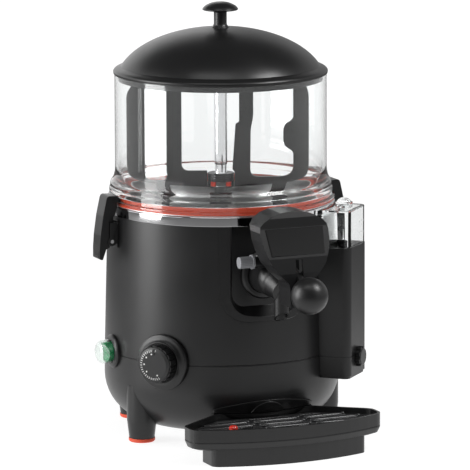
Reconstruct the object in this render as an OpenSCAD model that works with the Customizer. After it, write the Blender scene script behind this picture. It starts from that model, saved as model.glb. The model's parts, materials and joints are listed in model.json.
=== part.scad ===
// Countertop hot chocolate dispenser: a clear bowl over a water bath, stirred by a
// slow paddle, with a lever tap above a drip tray.
// +Z is up and -Y is the front. X = 0 is the plane of the tap.
// Angles round the body are counted from the front, positive towards +X.

/* [Body] */
// Outer radius of the casing at the seam with the base
seam_r = 126.7; // [125:0.1:130]
// How much less the casing's radius is at its top edge
body_taper = 4.1; // [3.6:0.1:8]
// Height of the seam between casing and base
seam_z = 92; // [88:0.5:96]
// Height of the casing's top edge
casing_top_z = 241; // [238:0.5:244]
// Wall of the plastic casings
shell_t = 2.5; // [2:0.1:3.2]
// Radius of the base's rounded lower edge
base_round = 51; // [40:1:54]
// Height of the base's underside
underside_z = 12.5; // [10:0.5:16]
// Height of the steel ring's skirt
ring_h = 10.5; // [8:0.5:12]

/* [Feet] */
// How far the feet's axes stand inside the base's side
foot_inset = 15.5; // [14:0.5:22]
// Radius of a foot where it meets the base
foot_top_r = 16; // [13:0.5:17]
// Radius of a foot above its pad
foot_low_r = 13.6; // [11:0.2:15]
// Thickness of a foot's pad
pad_h = 4; // [3:0.5:6]

/* [Bowl] */
// How far the bowl's wall stands inside the casing's top edge
bowl_inset = 8.6; // [7.6:0.2:10.6]
// Wall of the bowl
bowl_t = 3; // [2.5:0.1:4]
// Height of the bowl's upper edge
bowl_top_z = 391; // [385:0.5:400]
// Thickness of the clamping flange's outer step
flange_step_h = 3; // [2.5:0.1:4]

/* [Pan and bath] */
// Space between the product pan and the wall of the water bath
bath_gap = 5; // [4:0.5:11]
// Height of the product pan's floor
pan_floor_z = 176; // [172:0.5:180]
// Sheet thickness of pan and bath
sheet_t = 1; // [0.8:0.1:1.2]
// How far the water bath stands inside the casing's top edge
bath_inset = 13.6; // [13.4:0.2:15.6]
// Height of the water bath's floor
bath_floor_z = 118; // [112:0.5:124]

/* [Lid] */
// How far the lid's rim stands out from the bowl
lid_lip = 1.4; // [1.2:0.1:3]
// Height of the lid's rim band
lid_rim_h = 7; // [5:0.5:9]
// Half height of the ellipse that shapes the dome
dome_rise = 61.5; // [52:0.5:70]
// Wall of the lid
lid_t = 2.6; // [2:0.1:3.2]
// Diameter of the lid's knob
knob_d = 39; // [30:0.5:50]
// Diameter of the knob's stem
stem_d = 14; // [10:0.5:18]
// Height of the knob's top above the dome
knob_rise = 27.5; // [22:0.5:34]

/* [Paddle] */
// Angle to which the paddle is turned
paddle_turn = -23; // [-90:1:90]
// Clearance of the paddle's long arm from the bowl
paddle_play_l = 9.6; // [8:0.2:13]
// Clearance of the paddle's short arm from the bowl
paddle_play_r = 16.2; // [8:0.2:19]
// Thickness of the paddle's bars
paddle_t = 5; // [4:0.5:7]
// Radius of the steel column
column_r = 7.25; // [6.5:0.05:8]
// Radius of the drive shaft
shaft_r = 4; // [3.5:0.1:4.4]

/* [Latches] */
// Width of a latch
latch_w = 20; // [16:0.5:26]
// Radius of the latch pins
latch_pin_r = 2; // [1.6:0.1:2.4]
// How far the latch pins stand out from the casing
latch_stand = 7.2; // [6.8:0.1:7.6]
// Height of the latch pins
latch_pin_z = 215; // [212:0.5:217]

/* [Controls] */
// Angle of the thermostat round the body
dial_angle = -52.6; // [-60:0.2:-48]
// Height of the thermostat and switch
control_z = 94; // [92:0.5:98]
// Radius of the thermostat's collar
collar_r = 30; // [27:0.5:32]
// Radius of the thermostat's knob
dial_r = 20; // [17:0.5:22]
// Radius of the switch's bezel
bezel_r = 18; // [16:0.5:20]

/* [Tap] */
// Half width of the recess in the casing behind the tap
recess_half_w = 48; // [46:0.5:50]
// Height of the recess's lower edge
recess_low_z = 142; // [138:0.5:146]
// How far the recess's flat floor lies behind the front of the casing's top edge
recess_depth = 10; // [8.6:0.1:10.4]
// Height of the tap's axis
tap_z = 187; // [186:0.5:189]
// Radius of the tap's wall flange
tap_flange_r = 26; // [23:0.5:28]
// Radius of the tap's barrel
barrel_r = 19; // [17:0.5:20]
// Distance of the nozzle in front of the recess's floor
nozzle_out = 47.9; // [46.5:0.1:49.5]
// Outer radius of the nozzle
nozzle_r = 8; // [7.5:0.1:9]
// Height of the nozzle's lowest edge
nozzle_tip_z = 143.6; // [140:0.2:150]
// Distance of the lever's pivot in front of the recess's floor
pivot_out = 32.4; // [31.4:0.1:33.4]
// Height of the lever's pivot
pivot_z = 207.5; // [207:0.5:209]
// Radius of the lever's pivot pin
pivot_pin_r = 2.5; // [2:0.1:3]
// Diameter of the ball on the tap lever
ball_d = 39; // [34:0.5:42]
// Height of the ball's centre
ball_z = 184; // [182:0.5:187]
// Distance of the ball's centre in front of the recess's floor
ball_out = 119.4; // [118.4:0.1:125.4]

/* [Shield] */
// Distance of the shield's face in front of the recess's floor
shield_out = 79.4; // [78.4:0.1:80.4]
// Half width of the tap's shield
shield_half_w = 39; // [36:0.5:42]
// Height of the shield's top
shield_top_z = 266; // [264:0.5:270]
// Wall of the shield
shield_t = 2.2; // [1.8:0.1:2.6]
// Half width of the plate on the shield
plate_half_w = 33; // [28:0.5:34]
// Height of the plate on the shield
plate_h = 30; // [24:0.5:32]

/* [Water tank] */
// Angle of the tank round the body
tank_angle = 45; // [42:1:50]
// How far the tank stands out from the body
tank_depth = 30.8; // [23:0.2:37]
// Width of the tank
tank_w = 55; // [48:0.5:60]
// Height of the tank cover's lower edge
tank_low_z = 68; // [60:1:74]
// Height of the tank cover's upper edge
tank_cover_z = 210; // [200:1:220]
// Height of the clear reservoir's top
tank_top_z = 250; // [244:1:256]

/* [Drip tray] */
// Half width of the tray
tray_half_w = 109.4; // [104:0.2:114]
// Height of the tray's rim
tray_rim_z = 40; // [36:0.5:42]
// Distance of the tray's front in front of the body
tray_out = 76.3; // [69:0.1:81]
// Radius of the tray's curved front
tray_bow_r = 245; // [220:1:300]
// Half width of the tray's foot
tray_foot_half_w = 88; // [78:0.5:92]
// Wall of the tray
tray_t = 2.5; // [2:0.1:3]

/* [Hidden] */

$fn = 48;
gap = 0.3;          // clearance between pieces that move past each other
fit = 0.05;         // radial clearance of a running fit
eps = 0.01;         // overlap of cutting tools
far = 300;          // longer than any cut needs to be

// Front and back of the whole machine, which centre it over the origin.
gland_out = 18;
gland_z = 44;
gland_bore_r = 4;
body_top_r = seam_r - body_taper;
recess_y = body_top_r - recess_depth;
nozzle_y = recess_y + nozzle_out;
pivot_y = recess_y + pivot_out;
ball_y = recess_y + ball_out;
shield_y = recess_y + shield_out;
back_y = seam_r + gland_out;
front_y = ball_y + ball_d / 2;
axis_y = (front_y - back_y) / 2;

// Base
base_r = seam_r + 0.4;
fillet_r = base_r - base_round;
fillet_z = underside_z + base_round;
plate_r = fillet_r - 2;
post_circle_r = plate_r - 6;
post_r = 5;
screw_r = 2;
deck_z = seam_z + 2;
terminal_half_w = post_circle_r / 2 - 2 * screw_r - 0.1;
foot_circle_r = base_r - foot_inset;
motor_holes = [for (x = [-26, 26]) for (y = [-34, 18]) [x, y, 0]];

// Radii that follow the casing's top edge
ring_r = body_top_r + 0.3;
flange_r = body_top_r;
bowl_r = body_top_r - bowl_inset;
lid_rim_r = bowl_r + lid_lip;
bath_r = body_top_r - bath_inset;
pan_r = bath_r - bath_gap;
element_r = bath_r - 42;

// Levels of the stack above the casing
ring_top_z = casing_top_z + ring_h;
pan_rim_z = ring_top_z + sheet_t;
gasket_h = 1;
flange_z = pan_rim_z + gasket_h;
step_z = flange_z + flange_step_h;
gasket_bead_h = 7;

// Lid
lid_ledge_z = bowl_top_z - 2.6;
dome_z = bowl_top_z - 15;
dome_r = lid_rim_r - 2.2;
dome_top_z = dome_z + dome_rise;
knob_top_z = dome_top_z + knob_rise;
skirt_r = bowl_r - bowl_t - 1;

// Drive
paddle_reach_l = bowl_r - bowl_t - paddle_play_l;
paddle_reach_r = bowl_r - bowl_t - paddle_play_r;
paddle_shoulder = 14;
column_top_z = bowl_top_z - 4;
cap_z = column_top_z + gap;
shaft_top_z = cap_z + 12;
shaft_low_z = 72;
column_bore_r = shaft_r + 1.2;
bush_h = 8;
cap_hub_r = 12;

// Latches
claw_z = step_z + 0.6 + gap;
claw_tip_x = flange_r - 1.8;
latch_pin_x = casing_r(latch_pin_z) + latch_stand;
ear_r = 5;

// Tap
barrel_y = recess_y + 30;
nose_y = nozzle_y + 6;
nose_z = tap_z - 9;
nose_r = 12.5;
tower_r = 7.4;
tower_top_z = pivot_z - 6.5;
stem_r = 2.6;
nut_r = 4.2;
rocker_tilt = 7;
lever_t = 6.4;
lever_h = 7;
lever_top_z = pivot_z + lever_h / 2 - 1;
slot_w = lever_t + 1.2;
tap_ear_r = 7.5;
bracket_z = pivot_z + 22;
bracket_t = 1.6;

// Tank
tank_out_r = seam_r + tank_depth;
tank_in_r = seam_r - 36.7;
tank_corner_r = 8;
cap_r = 9.25;
cap_at_r = tank_out_r - 16.1;
drain_z = tank_low_z + 21;
drain_spigot_r = 4;

// Tray
tray_front_y = seam_r + tray_out;
tray_back_y = seam_r - 14.2;
tray_back_half_w = 57;
tray_step_z = 17;
tray_corner_r = 13;
tray_floor_z = 6;
tray_gap = 0.5;
grid_play = 2.5;
bracket_half_w = tray_back_half_w + 0.4;
bracket_top_z = tray_rim_z + 14;
bracket_arch_r = 187.5;
boss_r = 22;
grid_z = tray_rim_z - 5;
grid_t = 3;
float_x = -58;
float_y = tray_front_y - 37;
float_r = 4.6;
notch_x = -1;
notch_y = tray_front_y - 34;
notch_r = 8;

// Points of a circular arc
function arc(x, y, r, from, to, steps = 8) = [for (i = [0:steps])
    [x + r * cos(from + (to - from) * i / steps), y + r * sin(from + (to - from) * i / steps)]];
// Outer radius of the casing at height z
function casing_r(z) = seam_r + (body_top_r - seam_r) * (z - seam_z) / (casing_top_z - seam_z);

module place() translate([0, axis_y, 0]) children();
// Local +Z points out of the body at the given angle, local +Y up
module facing(angle, r, z) rotate([0, 0, angle]) translate([0, -r, z]) rotate([90, 0, 0])
    children();
module tube(r_out, r_in, z0, z1) translate([0, 0, z0]) difference() {
    cylinder(h = z1 - z0, r = r_out);
    translate([0, 0, -1]) cylinder(h = z1 - z0 + 2, r = r_in);
}
module rod(r, z0, z1) translate([0, 0, z0]) cylinder(h = z1 - z0, r = r);
module rounded_rect(w, h, r) {
    square([w - 2 * r, h], center = true);
    square([w, h - 2 * r], center = true);
    for (x = [-1, 1])
        for (y = [-1, 1])
            translate([x * (w / 2 - r), y * (h / 2 - r)]) circle(r);
}
module at_feet() for (a = [-73.5, 73.5, 142, -142])
    rotate([0, 0, a]) translate([0, -foot_circle_r, 0]) children();
module at_posts() for (a = [30, 120, 210, 300])
    rotate([0, 0, a]) translate([0, -post_circle_r, 0]) children();

// ---- casing and base -------------------------------------------------------

// Half section of the base, d inside its outer surface
function base_section(d) = concat([[0, underside_z + d]],
    arc(fillet_r, fillet_z, base_round - d, -90, 0, 12), [[seam_r - d, seam_z], [0, seam_z]]);

module base_solid(d = 0) rotate_extrude($fn = 96) polygon(base_section(d));

// What is left of a form outside the body, with a clearance of grow
module outside_body(grow) difference() {
    children();
    rotate_extrude($fn = 96) polygon([[0, 0], [base_r + grow, 0], [base_r + grow, fillet_z],
        [seam_r + grow, seam_z], [body_top_r + grow, casing_top_z],
        [body_top_r + grow + 1.2, casing_top_z + 0.1],
        [body_top_r + grow + 1.2, casing_top_z + 60], [0, casing_top_z + 60]]);
}

module control_holes() {
    facing(dial_angle, seam_r - 12, control_z) cylinder(h = 30, r = 5);
    facing(-90, seam_r - 12, control_z) cylinder(h = 30, r = 11);
}

module base_shell() place() color("#1c1c1e") difference() {
    union() {
        difference() {
            base_solid();
            base_solid(shell_t);
            translate([0, 0, seam_z - 0.8]) difference() {
                cylinder(h = 2, r = far);
                translate([0, 0, -1]) cylinder(h = 4, r = seam_r - 0.7);
            }
        }
        at_posts() rod(post_r, underside_z + shell_t - 0.5, deck_z - 1.6);
    }
    rod(post_circle_r - post_r - 0.9, 0, underside_z + shell_t + 1);
    at_posts() rod(screw_r, deck_z - 14, deck_z + 1);
    control_holes();
    facing(180, seam_r - 12, gland_z) cylinder(h = 30, r = 8);
}

module base_plate() place() color("#8d9093") difference() {
    rod(plate_r, underside_z - 1.5, underside_z);
    for (a = [0:30:330])
        rotate([0, 0, a]) translate([0, plate_r - 30, underside_z - 3]) linear_extrude(5)
            rounded_rect(4, 26, 1.9);
}

module foot_posts() place() color("#1c1c1e") difference() {
    at_feet() {
        translate([0, 0, pad_h]) cylinder(h = 20, r1 = foot_low_r, r2 = foot_top_r);
        rod(foot_top_r, pad_h + 20, fillet_z - 1.5);
    }
    base_solid();
}

module foot_pads() place() color("#c4452f") at_feet() {
    cylinder(h = 1.2, r1 = foot_low_r - 0.6, r2 = foot_low_r + 0.6);
    rod(foot_low_r + 0.6, 1.2, pad_h);
}

module recess_outline(grow) {
    h = casing_top_z - recess_low_z + 60;
    translate([0, recess_low_z + h / 2 - grow])
        rounded_rect(2 * (recess_half_w + grow), h, 26 + grow);
}

module casing() place() color("#1c1c1e") difference() {
    rotate_extrude($fn = 96) polygon([[seam_r - shell_t, seam_z], [seam_r - 0.7, seam_z],
        [seam_r, seam_z + 0.8], [body_top_r, casing_top_z], [bath_r + 0.2, casing_top_z],
        [bath_r + 0.2, casing_top_z - 2], [body_top_r - shell_t, casing_top_z - 2]]);
    translate([0, -recess_y + 6, 0]) rotate([90, 0, 0]) linear_extrude(40)
        recess_outline(3);
    control_holes();
}

module tap_panel() place() color("#1c1c1e") difference() {
    intersection() {
        rod(seam_r, recess_low_z - 10, casing_top_z);
        rotate_extrude($fn = 96) polygon([[0, seam_z], [seam_r, seam_z],
            [body_top_r, casing_top_z], [0, casing_top_z]]);
        translate([0, -recess_y + 3, 0]) rotate([90, 0, 0]) linear_extrude(40)
            recess_outline(3);
    }
    hull() {
        translate([0, -recess_y, 0]) rotate([90, 0, 0]) linear_extrude(eps)
            recess_outline(-12);
        translate([0, -seam_r - 1, 0]) rotate([90, 0, 0]) linear_extrude(eps)
            recess_outline(0);
    }
    translate([0, 0, tap_z]) rotate([90, 0, 0]) cylinder(h = 200, r = 13.2);
}

module top_ring() place() color("#d5d7d9") rotate_extrude($fn = 96) polygon([
    [ring_r - 1, casing_top_z + 0.2], [ring_r, casing_top_z + 0.2], [ring_r, ring_top_z - 1],
    [ring_r - 1, ring_top_z], [pan_r + 0.2, ring_top_z], [pan_r + 0.2, ring_top_z - 1],
    [ring_r - 1, ring_top_z - 1]]);

// ---- inside ----------------------------------------------------------------

module tap_pipe(r) translate([0, 0, tap_z]) rotate([90, 0, 0])
    cylinder(h = recess_y - 2.5, r = r);

module product_pan() place() color("#c9cbcd") difference() {
    union() {
        rotate_extrude($fn = 96) polygon(concat([[0, pan_floor_z]],
            arc(pan_r - 10, pan_floor_z + 10, 10, -90, 0, 4),
            [[pan_r, pan_rim_z - sheet_t], [flange_r - 1, pan_rim_z - sheet_t],
            [flange_r - 1, pan_rim_z], [0, pan_rim_z]]));
        difference() {
            tap_pipe(12.2);
            rod(pan_r - 2, 0, far);
        }
    }
    rotate_extrude($fn = 96) polygon(concat([[0, pan_floor_z + sheet_t]],
        arc(pan_r - 10, pan_floor_z + 10, 10 - sheet_t, -90, 0, 4),
        [[pan_r - sheet_t, pan_rim_z + 1], [0, pan_rim_z + 1]]));
    rod(column_r, 0, far);
    tap_pipe(10);
}

module bath_tub() place() color("#b9bbbd") difference() {
    union() {
        rod(bath_r, bath_floor_z, casing_top_z);
        rod(bath_r + 6, casing_top_z, casing_top_z + sheet_t);
    }
    rod(bath_r - sheet_t, bath_floor_z + sheet_t, far);
    rod(column_r, 0, far);
    translate([0, 0, tap_z]) rotate([90, 0, 0]) cylinder(h = 200, r = 12.4);
    for (x = [-12, 12])
        translate([x, element_r - 1, 0]) rod(4, 0, bath_floor_z + 4);
}

module heating_element() place() color("#6d6660") {
    difference() {
        translate([0, 0, bath_floor_z + 12]) rotate_extrude($fn = 96)
            translate([element_r, 0]) circle(4);
        translate([-12, element_r - 27, bath_floor_z]) cube([24, 60, 40]);
    }
    for (x = [-12, 12])
        translate([x, element_r - 1, 0]) rod(3.9, bath_floor_z - 5, bath_floor_z + 12);
}

module thermal_cutout() place() color("#d8d2c2")
    translate([-46, -20, 0]) rod(10, bath_floor_z - 9, bath_floor_z);

module chassis_plate() place() color("#9a9c9e") difference() {
    rod(post_circle_r + 20, deck_z - 1.6, deck_z);
    rod(12, 0, far);
    at_posts() rod(screw_r + 0.3, 0, far);
    translate([0, post_circle_r + 10, 0]) rod(14, 0, far);
    for (p = motor_holes) translate(p) rod(screw_r + 0.3, 0, far);
    for (x = [-56, 56])
        translate([x, -36, 0]) linear_extrude(far) rounded_rect(16, 30, 6);
}

module screw(r, length) {
    difference() {
        cylinder(h = 2.4, r = 2 * r);
        translate([-2.2 * r, -0.5, 1.4]) cube([4.4 * r, 1, 2]);
    }
    translate([0, 0, -length]) cylinder(h = length, r = r);
}

module chassis_screws() place() color("#b0b0b0") at_posts()
    translate([0, 0, deck_z]) screw(screw_r, 12);

module gear_motor() place() color("#7c7f83") {
    difference() {
        translate([-34, -42, 50]) cube([68, 68, deck_z - 1.6 - 50]);
        rod(shaft_r + fit, 40, far);
        for (p = motor_holes) translate(p) rod(screw_r, deck_z - 12, far);
    }
    translate([0, -8, 0]) rod(24, 22, 50);
}

module motor_screws() place() color("#b0b0b0")
    for (p = motor_holes) translate([p[0], p[1], deck_z]) screw(screw_r, 9);

module terminal_block() place() color("#e8e4da")
    translate([0, post_circle_r - 10, deck_z]) difference() {
        translate([-terminal_half_w, -8, 0]) cube([2 * terminal_half_w, 16, 18]);
        for (i = [-2:2])
            translate([i * (2 * terminal_half_w - 5) / 5, 0, 10]) cylinder(h = 10, r = 3);
    }

module thermostat_body() place() color("#d8d2c2")
    facing(dial_angle, 90, control_z) {
        cylinder(h = seam_r - shell_t - 2 - 90, r = 15);
        cylinder(h = seam_r + 12 - 90, r = 3);
    }

module cable_gland() place() color("#222222") {
    difference() {
        facing(180, seam_r, gland_z) tube(12, gland_bore_r, -8, 4);
        base_solid(-0.05);
    }
    facing(180, seam_r, gland_z) {
        tube(7.8, gland_bore_r, -6, 4);
        translate([0, 0, 4]) difference() {
            cylinder(h = gland_out - 8, r = 11, $fn = 12);
            translate([0, 0, -1]) cylinder(h = 30, r = gland_bore_r);
        }
        translate([0, 0, gland_out - 4]) difference() {
            cylinder(h = 4, r1 = 9, r2 = 6.5);
            translate([0, 0, -1]) cylinder(h = 6, r = gland_bore_r);
        }
    }
}

// ---- column, shaft and paddle ----------------------------------------------

module centre_column() place() color("#d9dadb") difference() {
    union() {
        rotate_extrude($fn = 64) polygon([[0, bath_floor_z - 14], [column_r, bath_floor_z - 14],
            [column_r, 279], [column_r - 0.8, 281], [column_r - 0.8, 289], [column_r, 291],
            [column_r, column_top_z - 1], [column_r - 1, column_top_z], [0, column_top_z]]);
        rod(13, bath_floor_z - 3, bath_floor_z);
        rod(13, pan_floor_z - 3, pan_floor_z);
    }
    rod(column_bore_r, 0, far + 200);
}

module column_bushes() place() color("#b08d4a")
    for (z = [bath_floor_z - 13, column_top_z - bush_h - 1])
        tube(column_bore_r, shaft_r + fit, z, z + bush_h);

module drive_shaft() place() color("#c9cbcd") rotate([0, 0, paddle_turn]) difference() {
    rod(shaft_r, shaft_low_z, shaft_top_z);
    for (s = [-1, 1])
        translate([s * (shaft_r + 1), 0, shaft_top_z - 6]) cube([4, 20, 13], center = true);
}

// Paddle outline: x from the axis along the blade, y is the height
function paddle_outline() = concat(
    [[-paddle_reach_l, dome_z - 10]],
    arc(-paddle_reach_l + 30, 290, 30, 180, 255, 8),
    [[0, 255.5]],
    arc(paddle_reach_r - 26, 289, 26, -80, 0, 8),
    [[paddle_reach_r, dome_z - 10], [paddle_reach_r - paddle_shoulder + 6.6, dome_z + 12]],
    [[16, cap_z + 5], [-16, cap_z + 5]],
    [[-paddle_reach_l + paddle_shoulder, dome_z + 12]]);

module window(x0, x1, z0, z1, r) translate([(x0 + x1) / 2, (z0 + z1) / 2])
    rounded_rect(x1 - x0, z1 - z0, r);

module paddle_form() difference() {
    polygon(paddle_outline());
    window(-paddle_reach_l + 19.4, -paddle_reach_l + 44, 264.6, dome_z + 6, 12.2);
    window(-42.2, 12.2, 279.5, 330, 8);
    window(-42.2, 19.8, 300, dome_z + 6, 8);
    window(31.6, paddle_reach_r - 16.8, 275, 345, 10);
    window(35, paddle_reach_r - 16.8, 300, dome_z + 6, 8);
}

module paddle_blade() difference() {
    union() {
        rotate([90, 0, 0]) translate([0, 0, -paddle_t / 2]) linear_extrude(paddle_t) {
            paddle_form();
            translate([paddle_reach_r - 15.8, 318.5]) circle(11);
            translate([19.8, 300]) square([4, 34]);
            // lower blades that sweep the pan
            window(-pan_r + 12, pan_r - 12, pan_floor_z + 3, pan_floor_z + 16, 5);
            for (x = [-64, 64]) window(x - 8, x + 8, pan_floor_z + 6, 274, 4);
        }
        // turned-in edges that stiffen the long arm's bars
        for (x = [-paddle_reach_l + 16.4, -paddle_reach_l + 46])
            translate([x, 0, 276]) linear_extrude(dome_z + 4 - 276)
                rounded_rect(4, paddle_t + 6, 1);
        rod(13, 255, 258);
        rod(13, pan_floor_z + 2, 236);
    }
    rod(column_r + 0.35, 0, cap_z - 4);
}

module paddle() place() color("#3a3b3d") rotate([0, 0, paddle_turn]) difference() {
    paddle_blade();
    rod(14.6, 258, 281);
    rod(cap_hub_r + 0.1, cap_z - 8, far + 200);
}

module hub_ring() place() color("#1b1b1c") rotate([0, 0, paddle_turn]) difference() {
    union() {
        for (i = [0:3]) tube(14.2, column_r + 0.35, 271 + i * 2.4, 272.6 + i * 2.4);
        tube(13, column_r + 0.35, 270, 279.8);
        intersection() {
            rod(14.2, 258, 270.5);
            for (s = [-1, 1])
                translate([s * 13 - 1.5, -4, 258]) cube([3, 8, 12.5]);
        }
    }
    rod(column_r + 0.35, 0, far);
}

module hub_seals() place() color("#c8402c") rotate([0, 0, paddle_turn])
    for (s = [-1, 1])
        intersection() {
            tube(11.4, column_r + 0.35, 258, 270);
            translate([s * 10 - 5, -5, 250]) cube([10, 10, 30]);
        }

module paddle_cap() place() color("#1b1b1c") rotate([0, 0, paddle_turn]) difference() {
    union() {
        rod(cap_hub_r, cap_z, cap_z + 6);
        rod(15, cap_z + 5, cap_z + 8);
        translate([0, 0, cap_z + 8]) cylinder(h = 9, r1 = 14, r2 = 10);
    }
    difference() {
        rod(shaft_r + 0.1, 0, shaft_top_z + 0.4);
        for (s = [-1, 1])
            translate([s * (shaft_r + 1.1), 0, shaft_top_z - 6])
                cube([4, 20, 12], center = true);
    }
}

// ---- bowl and lid ----------------------------------------------------------

module bowl() place() color([0.85, 0.9, 0.92, 0.35]) difference() {
    rotate_extrude($fn = 96) polygon([[bowl_r - bowl_t, flange_z], [flange_r, flange_z],
        [flange_r, step_z], [flange_r - 2.2, step_z + 0.6], [flange_r - 2.2, step_z + 9],
        [flange_r - 3.4, step_z + 11], [flange_r - 3.4, step_z + 15],
        [bowl_r + 2, step_z + 19], [bowl_r, step_z + 27], [bowl_r, bowl_top_z - 1],
        [bowl_r - 1, bowl_top_z], [bowl_r - bowl_t, bowl_top_z]]);
    tube(flange_r - 4.5, flange_r - 8.5, flange_z - 1, flange_z + gasket_bead_h + 0.2);
}

module bowl_gasket() place() color("#d2553a") {
    tube(flange_r - 0.6, pan_r + 1, pan_rim_z, flange_z);
    tube(flange_r - 4.7, flange_r - 8.3, flange_z, flange_z + gasket_bead_h);
}

function dome_points(d) = [for (i = [0:14])
    let (a = asin((bowl_top_z + 4 - dome_z) / dome_rise) * (1 - i / 14) + 90 * i / 14)
    [(dome_r - d) * cos(a), dome_z + (dome_rise - d) * sin(a)]];

module lid() place() color("#1d1d1f") difference() {
    rotate_extrude($fn = 96) polygon(concat(
        [[0, bowl_top_z - 9], [skirt_r, bowl_top_z - 9], [skirt_r, bowl_top_z + gap],
        [bowl_r + 0.4, bowl_top_z + gap], [bowl_r + 0.4, lid_ledge_z], [lid_rim_r, lid_ledge_z],
        [lid_rim_r, lid_ledge_z + lid_rim_h - 1], [lid_rim_r - 1, lid_ledge_z + lid_rim_h]],
        dome_points(0)));
    rotate_extrude($fn = 96) polygon(concat([[0, 290], [skirt_r - lid_t, 290],
        [skirt_r - lid_t, bowl_top_z + 2]], dome_points(lid_t), [[0, dome_z + 10]]));
    rod(3, dome_top_z - 20, dome_top_z + 10);
}

module lid_knob() place() color("#1d1d1f") rotate_extrude($fn = 64) polygon(concat(
    [[0, knob_top_z - 9], [stem_d / 2 + 2, knob_top_z - 9]],
    arc(knob_d / 2 - 3, knob_top_z - 6.5, 3, -60, 60, 4),
    [[knob_d / 4, knob_top_z - 0.8], [0, knob_top_z]]));

module lid_knob_stem() place() color("#1d1d1f") {
    rotate_extrude($fn = 64) polygon([[0, dome_top_z], [stem_d / 2 + 3, dome_top_z - 0.2],
        [stem_d / 2 + 1.5, dome_top_z + 2], [stem_d / 2, dome_top_z + 4],
        [stem_d / 2, knob_top_z - 10], [stem_d / 2 + 1, knob_top_z - 9],
        [0, knob_top_z - 9]]);
    rod(2.9, dome_top_z - lid_t - 5, dome_top_z + 0.5);
    rod(8, dome_top_z - lid_t - 4.5, dome_top_z - lid_t - 0.5);
}

// ---- latches ---------------------------------------------------------------

// Side profile of a lever: x outwards from the axis, y the height
function lever_profile() = concat(
    [[claw_tip_x, claw_z], [claw_tip_x, claw_z + 3.4], [claw_tip_x + 4, claw_z + 6.5]],
    arc(latch_pin_x + 2.5, claw_z + 3.1, 4, 110, 10, 4),
    [[latch_pin_x + 10.5, latch_pin_z + 28], [latch_pin_x + 13.5, latch_pin_z + 7],
    [latch_pin_x + 14.7, latch_pin_z - 9]],
    arc(latch_pin_x + 12.1, latch_pin_z - 16, 3.2, 0, -110, 5),
    [[latch_pin_x + 7.1, latch_pin_z - 8], [latch_pin_x + 3.5, latch_pin_z - 6.4]],
    arc(latch_pin_x, latch_pin_z, 5.5, -60, -180, 5),
    [[latch_pin_x - 4.9, latch_pin_z + 6], [latch_pin_x - 2.1, latch_pin_z + 11],
    [latch_pin_x - 2.1, latch_pin_z + 26], [flange_r + 2.2, claw_z - 5.4],
    [flange_r + 2.2, claw_z]]);

module latch_lever() difference() {
    union() {
        intersection() {
            translate([0, latch_w / 2, 0]) rotate([90, 0, 0]) linear_extrude(latch_w)
                polygon(lever_profile());
            // crowned across its width
            translate([latch_pin_x - 72.5, 0, 150]) cylinder(h = 150, r = 87.6, $fn = 120);
        }
        for (i = [0:5])
            translate([latch_pin_x + 14.5 - i * 0.15, 0, latch_pin_z - 15.5 + i * 2.2])
                rotate([90, 0, 0])
                    cylinder(h = latch_w - 7, r = 0.7, center = true, $fn = 16);
    }
    translate([latch_pin_x, 0, latch_pin_z]) rotate([90, 0, 0])
        cylinder(h = 2 * latch_w, r = latch_pin_r + fit, center = true);
    // room for the bracket's ears
    for (s = [-1, 1]) translate([0, s * (latch_w / 2 - 1), 0]) {
        translate([latch_pin_x - 12.5, -1.6, latch_pin_z - 3]) cube([16.5, 3.2, 30]);
        translate([latch_pin_x, 0, latch_pin_z]) rotate([90, 0, 0])
            cylinder(h = 3.2, r = ear_r + 0.7, center = true);
    }
}
module latch_bracket() difference() {
    union() {
        translate([latch_pin_x - 18.5, -latch_w / 2 + 1, latch_pin_z - 7])
            cube([12.6, latch_w - 2, 29]);
        for (s = [-1, 1]) translate([0, s * (latch_w / 2 - 1.4), 0]) {
            translate([latch_pin_x - 6.6, -0.8, latch_pin_z - 2.6]) cube([9.4, 1.6, 23]);
            translate([latch_pin_x, 0, latch_pin_z]) rotate([90, 0, 0])
                cylinder(h = 1.6, r = ear_r, center = true);
        }
    }
    translate([0, 0, seam_z]) cylinder(h = casing_top_z - seam_z, r1 = seam_r + 0.1,
        r2 = body_top_r + 0.1, $fn = 240);
    translate([latch_pin_x, 0, latch_pin_z]) rotate([90, 0, 0])
        cylinder(h = 2 * latch_w, r = latch_pin_r, center = true);
}

module latch_lever_left() place() color("#2a2b2d") mirror([1, 0, 0]) latch_lever();
module latch_lever_right() place() color("#2a2b2d") latch_lever();
module latch_bracket_left() place() color("#151516") mirror([1, 0, 0]) latch_bracket();
module latch_bracket_right() place() color("#151516") latch_bracket();
module latch_pins() place() color("#c9cbcd") for (s = [-1, 1])
    translate([s * latch_pin_x, 0, latch_pin_z]) rotate([90, 0, 0])
        cylinder(h = latch_w, r = latch_pin_r, center = true);

// ---- controls --------------------------------------------------------------

module thermostat_collar() place() color("#1b1b1c") outside_body(0.05)
    facing(dial_angle, seam_r - 1.6, control_z) difference() {
        rotate_extrude($fn = 64) polygon([[0, 0], [collar_r, 0], [collar_r, 4],
            [collar_r - 1, 5], [collar_r - 5, 6], [dial_r + 2.5, 8], [dial_r + 2.5, 9],
            [dial_r + 1, 9], [dial_r + 1, 7], [0, 7]]);
        translate([0, 0, -1]) cylinder(h = 20, r = 5);
    }

module thermostat_knob() place() color("#141415")
    facing(dial_angle, seam_r - 1.6, control_z) difference() {
        union() {
            translate([0, 0, 9]) linear_extrude(10.6) difference() {
                circle(dial_r);
                for (a = [0:20:340])
                    rotate(a) translate([dial_r + 0.8, 0]) circle(1.7);
            }
            rotate_extrude($fn = 64) polygon([[0, 7.3], [dial_r + 0.4, 7.3],
                [dial_r + 0.4, 9], [dial_r - 1.2, 9], [dial_r - 1.2, 19.6],
                [dial_r - 1.6, 20.8], [dial_r - 5, 21.6], [0, 21.6]]);
            translate([-0.8, dial_r - 9, 21]) cube([1.6, 6, 1.4]);
        }
        cylinder(h = 14, r = 3 + fit);
    }

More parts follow.
